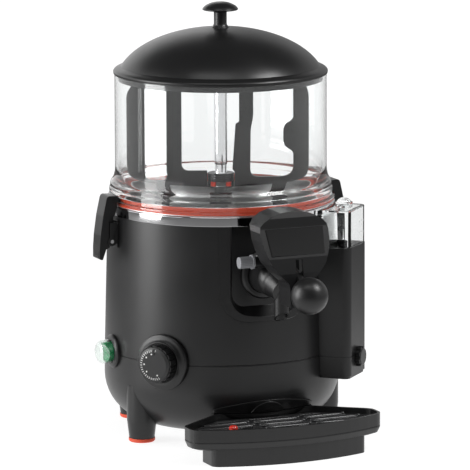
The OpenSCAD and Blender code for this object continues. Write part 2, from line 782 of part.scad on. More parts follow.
module switch_bezel() place() color("#1b1b1c") {
    outside_body(0.05) facing(-90, seam_r - 1, control_z) rotate_extrude($fn = 64)
        polygon([[9.4, -1], [bezel_r, -1], [bezel_r, 2.5], [bezel_r - 1.2, 4],
            [bezel_r - 4, 5], [bezel_r - 5, 5], [bezel_r - 5, 0.9], [9.4, 0.9]]);
    facing(-90, seam_r - 1, control_z) tube(10.8, 9.4, -20, 0.9);
}

module switch_rocker() place() color("#2fa96a") facing(-90, seam_r - 1, control_z)
    translate([0, 0, 5]) rotate([rocker_tilt, 0, 0]) difference() {
        translate([0, 0, -2.2]) cylinder(h = 9, r = bezel_r - 7.2);
        translate([-20, 0, 22]) rotate([0, 90, 0]) cylinder(h = 40, r = 17.6, $fn = 96);
    }

module switch_boot() place() color([0.8, 0.95, 0.88, 0.45])
    facing(-90, seam_r - 1, control_z) rotate_extrude($fn = 64) difference() {
        polygon(concat([[0, 4], [bezel_r - 5, 4]], arc(bezel_r - 12, 12.6, 7, 0, 80, 6),
            [[0, 20]]));
        polygon(concat([[-1, 3], [bezel_r - 6, 3]], arc(bezel_r - 12, 12.4, 6, 0, 80, 6),
            [[-1, 18.8]]));
    }

// ---- tap -------------------------------------------------------------------

module tap_flange() place() color("#1b1b1c") translate([0, -recess_y - 0.05, tap_z])
    rotate([90, 0, 0]) rotate_extrude($fn = 64) polygon([[12.1, 0], [tap_flange_r, 0],
        [tap_flange_r, 2.5], [tap_flange_r - 2, 4.5], [barrel_r + 0.5, 5],
        [barrel_r + 0.5, 4.2], [12.1, 4.2]]);

module tap_body() place() color("#1f1f21") difference() {
    union() {
        translate([0, -recess_y + 2.4, tap_z]) rotate([90, 0, 0]) cylinder(h = 12, r = 12);
        translate([0, -recess_y - 4.3, tap_z]) rotate([90, 0, 0])
            cylinder(h = barrel_y - recess_y - 4.3, r = barrel_r);
        nose();
        translate([0, -nozzle_y, 0]) {
            rod(nozzle_r, nozzle_tip_z, tap_z - 10);
            rod(tower_r, tap_z - 14, tower_top_z);
        }
        for (s = [-1, 1]) translate([s * 9 - 2, -pivot_y, pivot_z]) {
            rotate([0, 90, 0]) cylinder(h = 4, r = tap_ear_r);
            translate([0, -tap_ear_r, tap_z + 8 - pivot_z])
                cube([4, 2 * tap_ear_r, pivot_z - tap_z - 8]);
        }
        translate([-25.7, -pivot_y, pivot_z]) rotate([0, 90, 0]) cylinder(h = 15, r = 7.2);
    }
    // passage, valve bore and mouth
    translate([0, -recess_y + 10, tap_z]) rotate([90, 0, 0])
        cylinder(h = nozzle_y - recess_y + 10, r = 8.5);
    translate([0, -nozzle_y, 0]) {
        rod(nozzle_r - 1.7, 0, tap_z - 6);
        rod(stem_r + fit, 0, far);
    }
    translate([0, -nozzle_y - nozzle_r, nozzle_tip_z + 11.4]) rotate([-35.5, 0, 0])
        translate([-20, 0, -40]) cube([40, 40, 40]);
    translate([-40, -pivot_y, pivot_z]) rotate([0, 90, 0]) cylinder(h = 80, r = pivot_pin_r);
    translate([-lever_t / 2 - 4.2 + 0.8, -pivot_y - 12, tower_top_z - 3.6])
        cube([lever_t + 8.4 - 1.6, 22, 40]);
}

// The barrel's nose: a cone that leans forwards and down
module nose() {
    lean = atan((tap_z - nose_z) / (nose_y - barrel_y));
    length = norm([nose_y - barrel_y, tap_z - nose_z]);
    translate([0, -barrel_y, tap_z]) rotate([90 + lean, 0, 0])
        cylinder(h = length, r1 = barrel_r, r2 = nose_r);
    translate([0, -barrel_y, tap_z]) sphere(barrel_r + 0.5);
}

module tap_plunger() place() color("#c9cbcd") translate([0, -nozzle_y, 0]) {
    rod(stem_r, tap_z - 18, pivot_z + 9);
    translate([0, 0, tap_z - 24]) cylinder(h = 3, r1 = 3, r2 = nozzle_r - 1.8);
    rod(nozzle_r - 1.8, tap_z - 21, tap_z - 16);
    rod(nut_r, lever_top_z + gap, lever_top_z + gap + 4);
}

// Side form of the lever: x forwards from the pivot, y up
module lever_form() {
    circle(7);
    polygon([[0, lever_h / 2 - 1], [46, 0], [58, -4], [ball_y - pivot_y, ball_z - pivot_z + 4],
        [ball_y - pivot_y, ball_z - pivot_z - 3], [56, -4 - lever_h], [44, -lever_h],
        [0, -lever_h / 2 - 1]]);
}

module tap_lever() place() color("#1b1b1c") difference() {
    union() {
        translate([lever_t / 2, -pivot_y, pivot_z]) rotate([90, 0, -90])
            linear_extrude(lever_t) lever_form();
        translate([0, -nozzle_y, 0]) rod(7, pivot_z - lever_h / 2, lever_top_z);
    }
    translate([-20, -pivot_y, pivot_z]) rotate([0, 90, 0])
        cylinder(h = 40, r = pivot_pin_r + fit);
    translate([0, -nozzle_y - 0.5, pivot_z]) cube([2 * stem_r + 0.8, 9.6, 30], center = true);
}

module tap_ball() place() color("#111112") difference() {
    translate([0, -ball_y, ball_z]) sphere(ball_d / 2, $fn = 64);
    translate([lever_t / 2, -pivot_y, pivot_z]) rotate([90, 0, -90])
        linear_extrude(lever_t) lever_form();
}

module tap_pivot_pin() place() color("#c9cbcd")
    translate([-36, -pivot_y, pivot_z]) rotate([0, 90, 0]) cylinder(h = 49, r = pivot_pin_r);

module tap_side_knob() place() color("#9b9da0") translate([-26, -pivot_y, pivot_z])
    rotate([0, -90, 0]) difference() {
        union() {
            cylinder(h = 2, r = 7.6);
            translate([0, 0, 2]) cylinder(h = 14, r = 6.2);
        }
        for (a = [0:18:342])
            rotate([0, 0, a]) translate([6.6, 0, 2.6]) cylinder(h = 20, r = 0.7, $fn = 16);
        translate([0, 0, -1]) cylinder(h = 13, r = pivot_pin_r + fit);
    }

// ---- shield ----------------------------------------------------------------

// Front outline: x across, y the height; s is -1 or 1
function shield_side() = [[13, shield_top_z - 0.9], [24, shield_top_z - 4],
    [shield_half_w - 6, shield_top_z - 9], [shield_half_w - 1.2, shield_top_z - 14],
    [shield_half_w, shield_top_z - 20], [shield_half_w - 0.6, shield_top_z - 29],
    [shield_half_w - 3, shield_top_z - 39], [shield_half_w - 8.5, shield_top_z - 53],
    [shield_half_w - 17.5, shield_top_z - 64], [12.5, shield_top_z - 72.5],
    [11.4, shield_top_z - 78], [11.4, shield_top_z - 98]];
function mirrored(p) = [for (i = [len(p) - 1:-1:0]) [-p[i][0], p[i][1]]];
module shield_outline() polygon(concat([[0, shield_top_z]], shield_side(),
    mirrored(shield_side())));

// Distance of the leaning part of the shield's face in front of the axis at height z
function face_y(z) = shield_y + 13 * (shield_top_z - 16 - z) / 30;

// Section of the shield's front face: y forwards, z up, d inside the outer face
function face_section(d) = [[shield_y - 42, shield_top_z + 4],
    [shield_y - 6 - d, shield_top_z + 4], [shield_y - 1.5 - d, shield_top_z - 6],
    [shield_y - d, shield_top_z - 16], [face_y(shield_top_z - 46) - d, shield_top_z - 46],
    [shield_y + 16.5 - d, shield_top_z - 62], [shield_y + 17.5 - d, shield_top_z - 110],
    [shield_y - 6, shield_top_z - 110], [shield_y - 24, shield_top_z - 20]];

module shield_solid(d) intersection() {
    rotate([90, 0, 0]) linear_extrude(far) offset(delta = -d) shield_outline();
    translate([-100, 0, 0]) rotate([90, 0, 90]) mirror([1, 0, 0]) linear_extrude(200)
        polygon(face_section(d));
}

module shield_cover() place() color("#2b2c2e") difference() {
    shield_solid(0);
    difference() {
        shield_solid(shield_t);
        // rib that stands on the bracket
        translate([-5, -nozzle_y - 5, bracket_z + bracket_t]) cube([10, 9, 60]);
    }
    translate([-slot_w / 2, -shield_y - 38, tap_z + 4]) cube([slot_w, 60, 27]);
    shield_plate_form(0.15, 3);
}

// The face plate's trapezoid, laid in the leaning part of the face
module shield_plate_form(grow, thick) {
    lean = atan(13 / 30);
    translate([0, -shield_y, shield_top_z - 16]) rotate([90 - lean, 0, 0])
        translate([0, 0, -1.2]) linear_extrude(thick)
            polygon([[-plate_half_w - grow, -0.6 + grow], [plate_half_w + grow, -0.6 + grow],
            [plate_half_w - 3 + grow, -plate_h - grow],
            [-plate_half_w + 3 - grow, -plate_h - grow]]);
}

module shield_plate() place() color("#0d0d0e") shield_plate_form(0, 1.8);

module shield_bracket() place() color("#9a9c9e") {
    front = face_y(bracket_z + bracket_t) - shield_t - 0.1;
    translate([-12, -front, bracket_z]) cube([24, front - pivot_y + 4, bracket_t]);
    difference() {
        for (s = [-1, 1])
            translate([s * 9 - 1.6, -pivot_y - 4, pivot_z]) cube([3.2, 8, bracket_z - pivot_z]);
        translate([-20, -pivot_y, pivot_z]) rotate([0, 90, 0]) cylinder(h = 40, r = tap_ear_r);
    }
}

// ---- water tank ------------------------------------------------------------

module tank_outline(d, corner) {
    depth = tank_out_r - tank_in_r;
    translate([0, -tank_in_r - depth / 2])
        rounded_rect(tank_w - 2 * d, depth - 2 * d, corner);
}

module tank_cover() place() color("#1c1c1e") rotate([0, 0, tank_angle]) difference() {
    outside_body(0.05) union() {
        translate([0, 0, tank_low_z + 3]) linear_extrude(tank_cover_z - tank_low_z - 3)
            tank_outline(0, tank_corner_r);
        translate([0, 0, tank_low_z]) linear_extrude(3) tank_outline(1.6, tank_corner_r - 1.6);
    }
    outside_body(2.6) translate([0, 0, tank_low_z + 3]) linear_extrude(far)
        tank_outline(2.5, tank_corner_r - 2.5);
    translate([0, 0, seam_z - 0.4]) linear_extrude(0.8) difference() {
        tank_outline(-1, tank_corner_r);
        tank_outline(0.6, tank_corner_r - 0.6);
    }
    translate([0, -tank_out_r - 5, drain_z]) rotate([-90, 0, 0])
        cylinder(h = 12, r = drain_spigot_r + fit);
}

module tank_reservoir() place() color([0.86, 0.9, 0.92, 0.4]) rotate([0, 0, tank_angle]) {
    difference() {
        union() {
            outside_body(0.4) translate([0, 0, tank_cover_z])
                linear_extrude(tank_top_z - tank_cover_z)
                    tank_outline(0.6, tank_corner_r - 0.6);
            outside_body(2.9) translate([0, 0, tank_cover_z - 8]) linear_extrude(9)
                tank_outline(2.8, tank_corner_r - 2.8);
            translate([0, -cap_at_r, tank_top_z - 1]) cylinder(h = 4, r = cap_r - 1.4);
        }
        outside_body(5) translate([0, 0, tank_cover_z - 6])
            linear_extrude(tank_top_z - tank_cover_z + 4) tank_outline(5, tank_corner_r - 5);
        translate([0, -cap_at_r, tank_cover_z]) cylinder(h = 90, r = cap_r - 3.4);
    }
    // raised level lines on the outer face
    for (z = [tank_cover_z + 12, tank_cover_z + 24])
        translate([tank_w / 2 - 22, -tank_out_r + 0.1, z]) cube([12, 0.6, 1]);
}

module tank_cap() place() color([0.86, 0.9, 0.92, 0.5]) rotate([0, 0, tank_angle])
    translate([0, -cap_at_r, tank_top_z]) difference() {
        rotate_extrude($fn = 48) polygon(concat([[0, 0.3], [cap_r, 0.3], [cap_r, 6]],
            arc(0, 1.5, cap_r, 32, 90, 6)));
        translate([0, 0, -1]) cylinder(h = 5.4, r = cap_r - 1.1);
    }

module drain_knob() place() color("#1b1b1c") rotate([0, 0, tank_angle])
    translate([0, -tank_out_r - 0.3, drain_z]) rotate([90, 0, 0]) difference() {
        union() {
            cylinder(h = 5, r = 11);
            translate([0, 0, 5]) cylinder(h = 1.2, r1 = 10, r2 = 8.5);
            translate([0, 0, -6]) cylinder(h = 6, r = drain_spigot_r);
        }
        for (a = [0:45:315])
            rotate([0, 0, a]) translate([12.6, 0, -1]) cylinder(h = 10, r = 3.4, $fn = 24);
    }

// ---- drip tray -------------------------------------------------------------

// Plan of the tray, straight in front of the body; half_w at its widest
module tray_plan(half_w, front, inset, corner) offset(r = corner) offset(delta = -corner - inset)
    intersection() {
        translate([0, -front + tray_bow_r]) circle(tray_bow_r, $fn = 120);
        polygon([[-half_w, -far], [half_w, -far], [half_w, -tray_back_y - 40],
            [tray_back_half_w, -tray_back_y], [-tray_back_half_w, -tray_back_y],
            [-half_w, -tray_back_y - 40]]);
    }

// Slice of the tray's upper part, inset from its widest outline
module tray_slice(z, thick, inset) translate([0, 0, z]) linear_extrude(thick)
    tray_plan(tray_half_w, tray_front_y, inset, tray_corner_r, $fn = 32);

// Upper part of the tray with its rounded lower edge, d inside the outer faces
module tray_pan(d, top) hull() {
    tray_slice(tray_step_z + d, eps, 8 + d);
    tray_slice(tray_step_z + 2.3 + d * 0.6, eps, 2.3 + d);
    tray_slice(tray_step_z + 8, top - tray_step_z - 8, d);
}

module tray_foot(z, d, corner) translate([0, 0, z]) linear_extrude(tray_step_z + 6 - z)
    tray_plan(tray_foot_half_w, tray_front_y - 4, d, corner, $fn = 32);

// The tray's back follows the round of the base
module before_base(d) difference() {
    children();
    base_solid(-d);
}

module drip_tray() place() color("#202022") difference() {
    before_base(tray_gap) {
        tray_pan(0, tray_rim_z);
        tray_foot(0, 0, 9);
    }
    // groove round the side
    translate([0, 0, tray_step_z + 9]) linear_extrude(1) difference() {
        tray_plan(tray_half_w + 4, tray_front_y + 4, 0, tray_corner_r, $fn = 32);
        tray_plan(tray_half_w, tray_front_y, 0.7, tray_corner_r, $fn = 32);
    }
    before_base(tray_gap + tray_t) {
        tray_pan(tray_t, tray_rim_z + 1);
        tray_foot(tray_floor_z, tray_t, 7);
    }
    // room under the back for the bracket's arms
    for (s = [-1, 1])
        translate([s * 30 - 9.5, -tray_back_y - 37.5, -1]) cube([19, 50, 5.8]);
}

// Plan of the grid, with room at the back to tilt
module grid_plan() intersection() {
    tray_plan(tray_half_w, tray_front_y, tray_t + 0.5, tray_corner_r);
    translate([0, -grid_play]) tray_plan(tray_half_w, tray_front_y, tray_t + 0.5, tray_corner_r);
}

module tray_grid() place() color("#2a2b2d") difference() {
    union() {
        translate([0, 0, grid_z - grid_t]) linear_extrude(grid_t) grid_plan();
        for (x = [-94, 94])
            translate([x, -tray_front_y + 43, 0])
                rod(3, tray_step_z + tray_t + gap, grid_z - 1);
        for (p = [[-46, 79], [46, 79], [-50, 23], [50, 23]])
            translate([p[0], -tray_front_y + p[1], 0])
                rod(3, tray_floor_z + gap, grid_z - 1);
    }
    // slots in fields, between the ribs
    for (row = [0:6]) {
        y = -tray_back_y - 9.5 - row * 10.6;
        reach = min(96, 60 + row * 14) - (row == 6 ? 26 : 0);
        for (field = [0:3]) {
            x0 = -reach + field * reach / 2 + 2;
            translate([x0, y - 2.4, 0]) cube([reach / 2 - 4, 4.8, far]);
        }
    }
    translate([float_x, -float_y, 0]) rod(float_r + 1, 0, far);
    translate([notch_x, -notch_y, 0]) rod(notch_r, 0, far);
    base_solid(-tray_gap - tray_t - 0.5);
}

module level_float() place() color("#c8302a") translate([float_x, -float_y, 0]) {
    rod(10, tray_floor_z + gap, tray_floor_z + gap + 7);
    rod(2.5, tray_floor_z + 5, tray_rim_z - 5);
    rotate_extrude($fn = 48) polygon([[0, grid_z - 1], [float_r, grid_z - 1],
        [float_r, tray_rim_z - 3], [float_r - 1.4, tray_rim_z - 1.4], [0, tray_rim_z - 1]]);
}

// A front view's outline, raised by thick on the round of the base
module on_base(thick) difference() {
    intersection() {
        base_solid(-thick);
        rotate([90, 0, 0]) linear_extrude(far) children();
    }
    base_solid(-0.05);
}

// Arched plate over the tray's rim with a half-round boss, a block behind the rim and two
// arms under the tray
// arched plate on the base above the tray, with a half-round boss on it
module bracket_plate() place() color("#161617") {
    on_base(2.4) intersection() {
        translate([-bracket_half_w, tray_rim_z + 0.5]) square([2 * bracket_half_w, 20]);
        translate([0, bracket_top_z - bracket_arch_r]) circle(bracket_arch_r, $fn = 240);
    }
    on_base(3.6) intersection() {
        translate([-boss_r, tray_rim_z + 0.5]) square(2 * boss_r);
        translate([0, bracket_top_z - 2 - boss_r]) circle(boss_r, $fn = 64);
    }
}
// block on the base and the two arms that hold the tray
module tray_bracket() place() color("#161617") {
    difference() {
        translate([-bracket_half_w, -tray_back_y + 0.3, 20])
            cube([2 * bracket_half_w, 14, tray_rim_z - 20]);
        base_solid(-0.05);
    }
    for (s = [-1, 1]) translate([s * 30 - 9, 0, 0]) {
        translate([0, -tray_back_y + 0.3, 1]) cube([18, 4, 22]);
        translate([0, -tray_back_y - 32, 1]) cube([18, 36, 3.4]);
    }
}

base_shell();
base_plate();
foot_posts();
foot_pads();
casing();
top_ring();
bath_tub();
product_pan();
heating_element();
thermal_cutout();
chassis_plate();
chassis_screws();
gear_motor();
motor_screws();
terminal_block();
cable_gland();
centre_column();
column_bushes();
drive_shaft();
paddle();
paddle_cap();
hub_seals();
hub_ring();
bowl_gasket();
bowl();
lid();
lid_knob();
lid_knob_stem();
latch_bracket_left();
latch_bracket_right();
latch_lever_left();
latch_lever_right();
latch_pins();
thermostat_collar();
thermostat_knob();
thermostat_body();
switch_bezel();
switch_rocker();
switch_boot();
tap_panel();
tap_flange();
tap_body();
tap_plunger();
tap_lever();
tap_ball();
tap_pivot_pin();
tap_side_knob();
shield_bracket();
shield_cover();
shield_plate();
tank_cover();
tank_reservoir();
tank_cap();
drain_knob();
tray_bracket();
bracket_plate();
drip_tray();
tray_grid();
level_float();
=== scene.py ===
"""Dresses a countertop hot chocolate dispenser: finishes for its moulded, steel and clear
pieces, and finer surfaces for the pieces that show. Everything is in metres, +Z up."""

import json
import math

import bmesh
import bpy
import numpy as np
from mathutils import Matrix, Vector
from mathutils.geometry import tessellate_polygon


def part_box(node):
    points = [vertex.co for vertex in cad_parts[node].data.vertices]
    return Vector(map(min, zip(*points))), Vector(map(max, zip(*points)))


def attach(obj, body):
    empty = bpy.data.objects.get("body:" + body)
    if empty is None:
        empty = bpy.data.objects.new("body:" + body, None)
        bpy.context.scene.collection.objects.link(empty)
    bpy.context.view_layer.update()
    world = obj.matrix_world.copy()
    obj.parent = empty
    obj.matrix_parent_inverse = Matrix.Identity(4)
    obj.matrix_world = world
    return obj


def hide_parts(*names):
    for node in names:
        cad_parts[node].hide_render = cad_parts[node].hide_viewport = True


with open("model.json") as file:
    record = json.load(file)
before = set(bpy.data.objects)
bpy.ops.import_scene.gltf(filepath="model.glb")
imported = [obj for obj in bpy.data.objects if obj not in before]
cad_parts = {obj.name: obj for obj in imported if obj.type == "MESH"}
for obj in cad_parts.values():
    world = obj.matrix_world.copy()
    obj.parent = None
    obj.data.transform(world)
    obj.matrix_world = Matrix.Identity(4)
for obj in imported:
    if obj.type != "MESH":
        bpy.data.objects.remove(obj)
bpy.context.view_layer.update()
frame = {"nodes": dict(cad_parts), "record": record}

bl_info = {
    "name": "Hot chocolate dispenser",
    "version": (1, 0, 0),
    "blender": (4, 5, 0),
    "location": "3D View > Sidebar > Dispenser",
    "description": "Finishes and finer surfaces for a hot chocolate dispenser",
    "category": "Object",
}

MM = 0.001
TAU = 2 * math.pi


def low(node):
    """Lowest corner of a node of the frame."""
    return np.array(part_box(node)[0])


def high(node):
    """Highest corner of a node of the frame."""
    return np.array(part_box(node)[1])


AXIS_Y = float((low("bowl")[1] + high("bowl")[1]) / 2)


def half_width(node):
    """Half of a node's width, which is the outer radius of a round one."""
    return float(high(node)[0] - low(node)[0]) / 2


def low_radius(node):
    """Smallest distance of a node's vertices from the machine's axis."""
    obj = frame["nodes"][node]
    xyz = np.empty(len(obj.data.vertices) * 3)
    obj.data.vertices.foreach_get("co", xyz)
    xyz = xyz.reshape(-1, 3)
    return float(np.hypot(xyz[:, 0], xyz[:, 1] - AXIS_Y).min())


# ---- settings ---------------------------------------------------------------------------


class DispenserFinishes(bpy.types.PropertyGroup):
    """Colours and gloss of the machine's surfaces."""

    casing_colour: bpy.props.FloatVectorProperty(
        name="Casing", description="Satin black of casing, base and lid", subtype="COLOR",
        default=(0.007, 0.007, 0.0073), min=0, max=1)
    casing_roughness: bpy.props.FloatProperty(
        name="Casing roughness", description="Roughness of the satin mouldings",
        default=0.34, min=0.05, max=1)
    trim_colour: bpy.props.FloatVectorProperty(
        name="Trim", description="Black of knobs, tap and bezels", subtype="COLOR",
        default=(0.006, 0.006, 0.0063), min=0, max=1)
    latch_colour: bpy.props.FloatVectorProperty(
        name="Latches", description="Charcoal of latches and tap shield", subtype="COLOR",
        default=(0.009, 0.009, 0.0095), min=0, max=1)
    paddle_colour: bpy.props.FloatVectorProperty(
        name="Paddle", description="Dark grey of the stirring paddle", subtype="COLOR",
        default=(0.006, 0.006, 0.0063), min=0, max=1)
    seal_colour: bpy.props.FloatVectorProperty(
        name="Seals", description="Red of the silicone seals and foot pads", subtype="COLOR",
        default=(0.66, 0.075, 0.03), min=0, max=1)
    steel_colour: bpy.props.FloatVectorProperty(
        name="Steel", description="Polished steel", subtype="COLOR",
        default=(0.72, 0.72, 0.73), min=0, max=1)
    lamp_colour: bpy.props.FloatVectorProperty(
        name="Rocker", description="Green of the lit rocker", subtype="COLOR",
        default=(0.01, 0.22, 0.075), min=0, max=1)


class DispenserForms(bpy.types.PropertyGroup):
    """Sizes of the moulded forms that the frame doesn't tell."""

    lid_wall: bpy.props.FloatProperty(
        name="Lid wall", description="Wall of the lid", unit="LENGTH", default=0.0026)
    dome_rise: bpy.props.FloatProperty(
        name="Dome rise", description="Half height of the dome's ellipse", unit="LENGTH",
        default=0.0615)
    stem_radius: bpy.props.FloatProperty(
        name="Stem", description="Radius of the lid knob's stem", unit="LENGTH",
        default=0.007)
    bowl_radius: bpy.props.FloatProperty(
        name="Bowl", description="Outer radius of the clear bowl", unit="LENGTH",
        default=0.114)
    bowl_wall: bpy.props.FloatProperty(
        name="Bowl wall", description="Wall of the clear bowl", unit="LENGTH", default=0.003)
    paddle_angle: bpy.props.FloatProperty(
        name="Paddle angle", description="Turn of the paddle at rest", subtype="ANGLE",
        default=math.radians(-23))
    paddle_thick: bpy.props.FloatProperty(
        name="Paddle", description="Thickness of the paddle's bars", unit="LENGTH",
        default=0.005)
    sweep_reach: bpy.props.FloatProperty(
        name="Sweep", description="Half length of the lower sweep", unit="LENGTH",
        default=0.092)
    dial_bearing: bpy.props.FloatProperty(
        name="Dial bearing", description="Bearing of the thermostat", subtype="ANGLE",
        default=math.radians(-52.6))
    dial_reach: bpy.props.FloatProperty(
        name="Dial face", description="Distance of the dial's face from the axis",
        unit="LENGTH", default=0.1467)
    tray_bow: bpy.props.FloatProperty(
        name="Tray bow", description="Radius of the tray's front edge", unit="LENGTH",
        default=0.245)


class DispenserStage(bpy.types.PropertyGroup):
    """Camera and light."""

    bearing: bpy.props.FloatProperty(
        name="Bearing", description="Camera's turn round the machine's axis",
        subtype="ANGLE", default=math.radians(-23.2))
    distance: bpy.props.FloatProperty(
        name="Distance", description="Camera's distance from the axis", unit="LENGTH",
        default=5.0548)
    height: bpy.props.FloatProperty(
        name="Height", description="Camera's height over the floor", unit="LENGTH",
        default=1.1022)
    yaw: bpy.props.FloatProperty(
        name="Yaw", description="Turn of the view off the axis", subtype="ANGLE",
        default=-0.00296)
    tilt: bpy.props.FloatProperty(
        name="Tilt", description="Downward tilt of the view", subtype="ANGLE",
        default=0.17451)
    roll: bpy.props.FloatProperty(
        name="Roll", description="Roll of the view", subtype="ANGLE", default=-0.00353)
    lens: bpy.props.FloatProperty(
        name="Lens", description="Focal length on a 36 mm sensor, in millimetres",
        default=363.9, min=50, max=800)
    fill: bpy.props.FloatProperty(
        name="Fill", description="Strength of the even light all round", default=0.08, min=0,
        max=2)
    cove_left: bpy.props.FloatProperty(
        name="Left cove", description="Strength of the cove on the camera's left",
        default=1.3, min=0, max=4)
    cove_right: bpy.props.FloatProperty(
        name="Right cove", description="Strength of the cove on the camera's right",
        default=0.5, min=0, max=4)
    cove_radius: bpy.props.FloatProperty(
        name="Cove radius", description="Radius of the cove", unit="LENGTH", default=3.5)
    cove_height: bpy.props.FloatProperty(
        name="Cove height", description="Height of the cove", unit="LENGTH", default=2.4)
    cove_gap: bpy.props.FloatProperty(
        name="Cove gap", description="Half of the cove's opening towards the camera",
        subtype="ANGLE", default=math.radians(40), min=math.radians(5), max=math.radians(170))
    left_power: bpy.props.FloatProperty(
        name="Left box", description="Power of the left softbox", default=24, min=0)
    right_power: bpy.props.FloatProperty(
        name="Right box", description="Power of the upper right softbox", default=16, min=0)
    top_power: bpy.props.FloatProperty(
        name="Top box", description="Power of the top softbox", default=5, min=0)


def finishes():
    """The scene's finish settings."""
    return bpy.context.scene.dispenser_finishes


def sizes():
    """The scene's form settings."""
    return bpy.context.scene.dispenser_forms


# ---- materials --------------------------------------------------------------------------


def ranged(tree, source, from_low, from_high, to_low, to_high):
    """Carries a value evenly from one range to another and holds it at the ends."""
    node = tree.nodes.new("ShaderNodeMapRange")
    for socket, value in zip(("From Min", "From Max", "To Min", "To Max"),
                             (from_low, from_high, to_low, to_high)):
        node.inputs[socket].default_value = value
    tree.links.new(source, node.inputs["Value"])
    return node.outputs["Result"]


class Shade:
    """A node material: one Principled shader whose patterns read Object coordinates."""

    def __init__(self, name):
        self.material = bpy.data.materials.new(name)
        self.material.use_nodes = True
        self.tree = self.material.node_tree
        self.bsdf = self.tree.nodes["Principled BSDF"]
        self.coords = self.add("ShaderNodeTexCoord").outputs["Object"]

    def add(self, kind, **values):
        """New node, with values for its sockets or its own settings."""
        node = self.tree.nodes.new(kind)
        for key, value in values.items():
            if key in node.inputs:
                node.inputs[key].default_value = value
            else:
                setattr(node, key, value)
        return node

    def link(self, a, b):
        """Joins an output to an input."""
        self.tree.links.new(a, b)

    def set(self, **values):
        """Sets constants on the shader's own sockets."""
        for key, value in values.items():
            self.bsdf.inputs[key.replace("_", " ")].default_value = value
        return self

    def noise(self, scale, detail=2.0, stretch=(1, 1, 1)):
        """Noise of so many waves per metre, stretched along the axes."""
        mapping = self.add("ShaderNodeMapping")
        mapping.inputs["Scale"].default_value = stretch
        self.link(self.coords, mapping.inputs["Vector"])
        noise = self.add("ShaderNodeTexNoise", Scale=scale, Detail=detail)
        self.link(mapping.outputs["Vector"], noise.inputs["Vector"])
        return noise.outputs["Fac"]

    def two_tone(self, source, dark, light):
        """Base colour between two tones, as the pattern says."""
        mix = self.add("ShaderNodeMix", data_type="RGBA")
        mix.inputs[6].default_value = (*dark, 1)
        mix.inputs[7].default_value = (*light, 1)
        self.link(source, mix.inputs[0])
        self.link(mix.outputs[2], self.bsdf.inputs["Base Color"])
        return self

    def rough(self, source, smooth, dull):
        """Roughness from a noise, whose values lie mostly between 0.3 and 0.7."""
        value = ranged(self.tree, source, 0.3, 0.7, smooth, dull)
        self.link(value, self.bsdf.inputs["Roughness"])
        return self

    def bump(self, source, depth, strength=0.2):
        """Relief of a depth in metres."""
        node = self.add("ShaderNodeBump", Strength=strength, Distance=depth)
        self.link(source, node.inputs["Height"])
        self.link(node.outputs["Normal"], self.bsdf.inputs["Normal"])
        return self


def tones(colour, share):
    """A darker and a lighter tone round a colour."""
    c = np.array(colour)
    return tuple(c * (1 - share)), tuple(np.minimum(c * (1 + share), 1))


def moulded(name, colour, roughness, grain=0.2, coat=0.0, shine=0.5):
    """Moulded plastic: fine spark-eroded grain, and a roughness that drifts a little."""
    s = Shade(name)
    drift = s.noise(26, 3)
    s.two_tone(drift, *tones(colour, 0.12))
    s.rough(drift, roughness * 0.92, roughness * 1.08)
    s.bump(s.noise(2600, 2), 0.00005, grain)
    s.set(IOR=1.5, Specular_IOR_Level=shine)
    if coat:
        s.set(Coat_Weight=coat, Coat_Roughness=0.12)
    return s.material


def metal(name, colour, roughness, stretch, lines=0.15):
    """Polished or brushed metal: fine lines along the axis with the smallest stretch."""
    s = Shade(name)
    grain = s.noise(900, 3, stretch)
    s.two_tone(s.noise(30, 3), *tones(colour, 0.06))
    s.rough(grain, roughness * 0.75, roughness * 1.3)
    s.bump(grain, 0.00002, lines)
    s.set(Metallic=1.0)
    return s.material


def clear(name, colour, roughness=0.02, ior=1.5):
    """Clear moulded plastic with faint handling haze."""
    s = Shade(name)
    s.set(Base_Color=(*colour, 1), Transmission_Weight=1.0, IOR=ior)
    s.rough(s.noise(40, 4), roughness * 0.5, roughness * 1.6)
    return s.material


def rubber(name, colour, roughness=0.5):
    """Silicone rubber: soft sheen, fine dust-like mottling."""
    s = Shade(name)
    mottle = s.noise(320, 4)
    s.two_tone(mottle, *tones(colour, 0.1))
    s.rough(mottle, roughness * 0.85, roughness * 1.15)
    s.bump(mottle, 0.00006, 0.15)
    s.set(Subsurface_Weight=0.08, Subsurface_Radius=(0.003, 0.001, 0.0006), IOR=1.42)
    return s.material


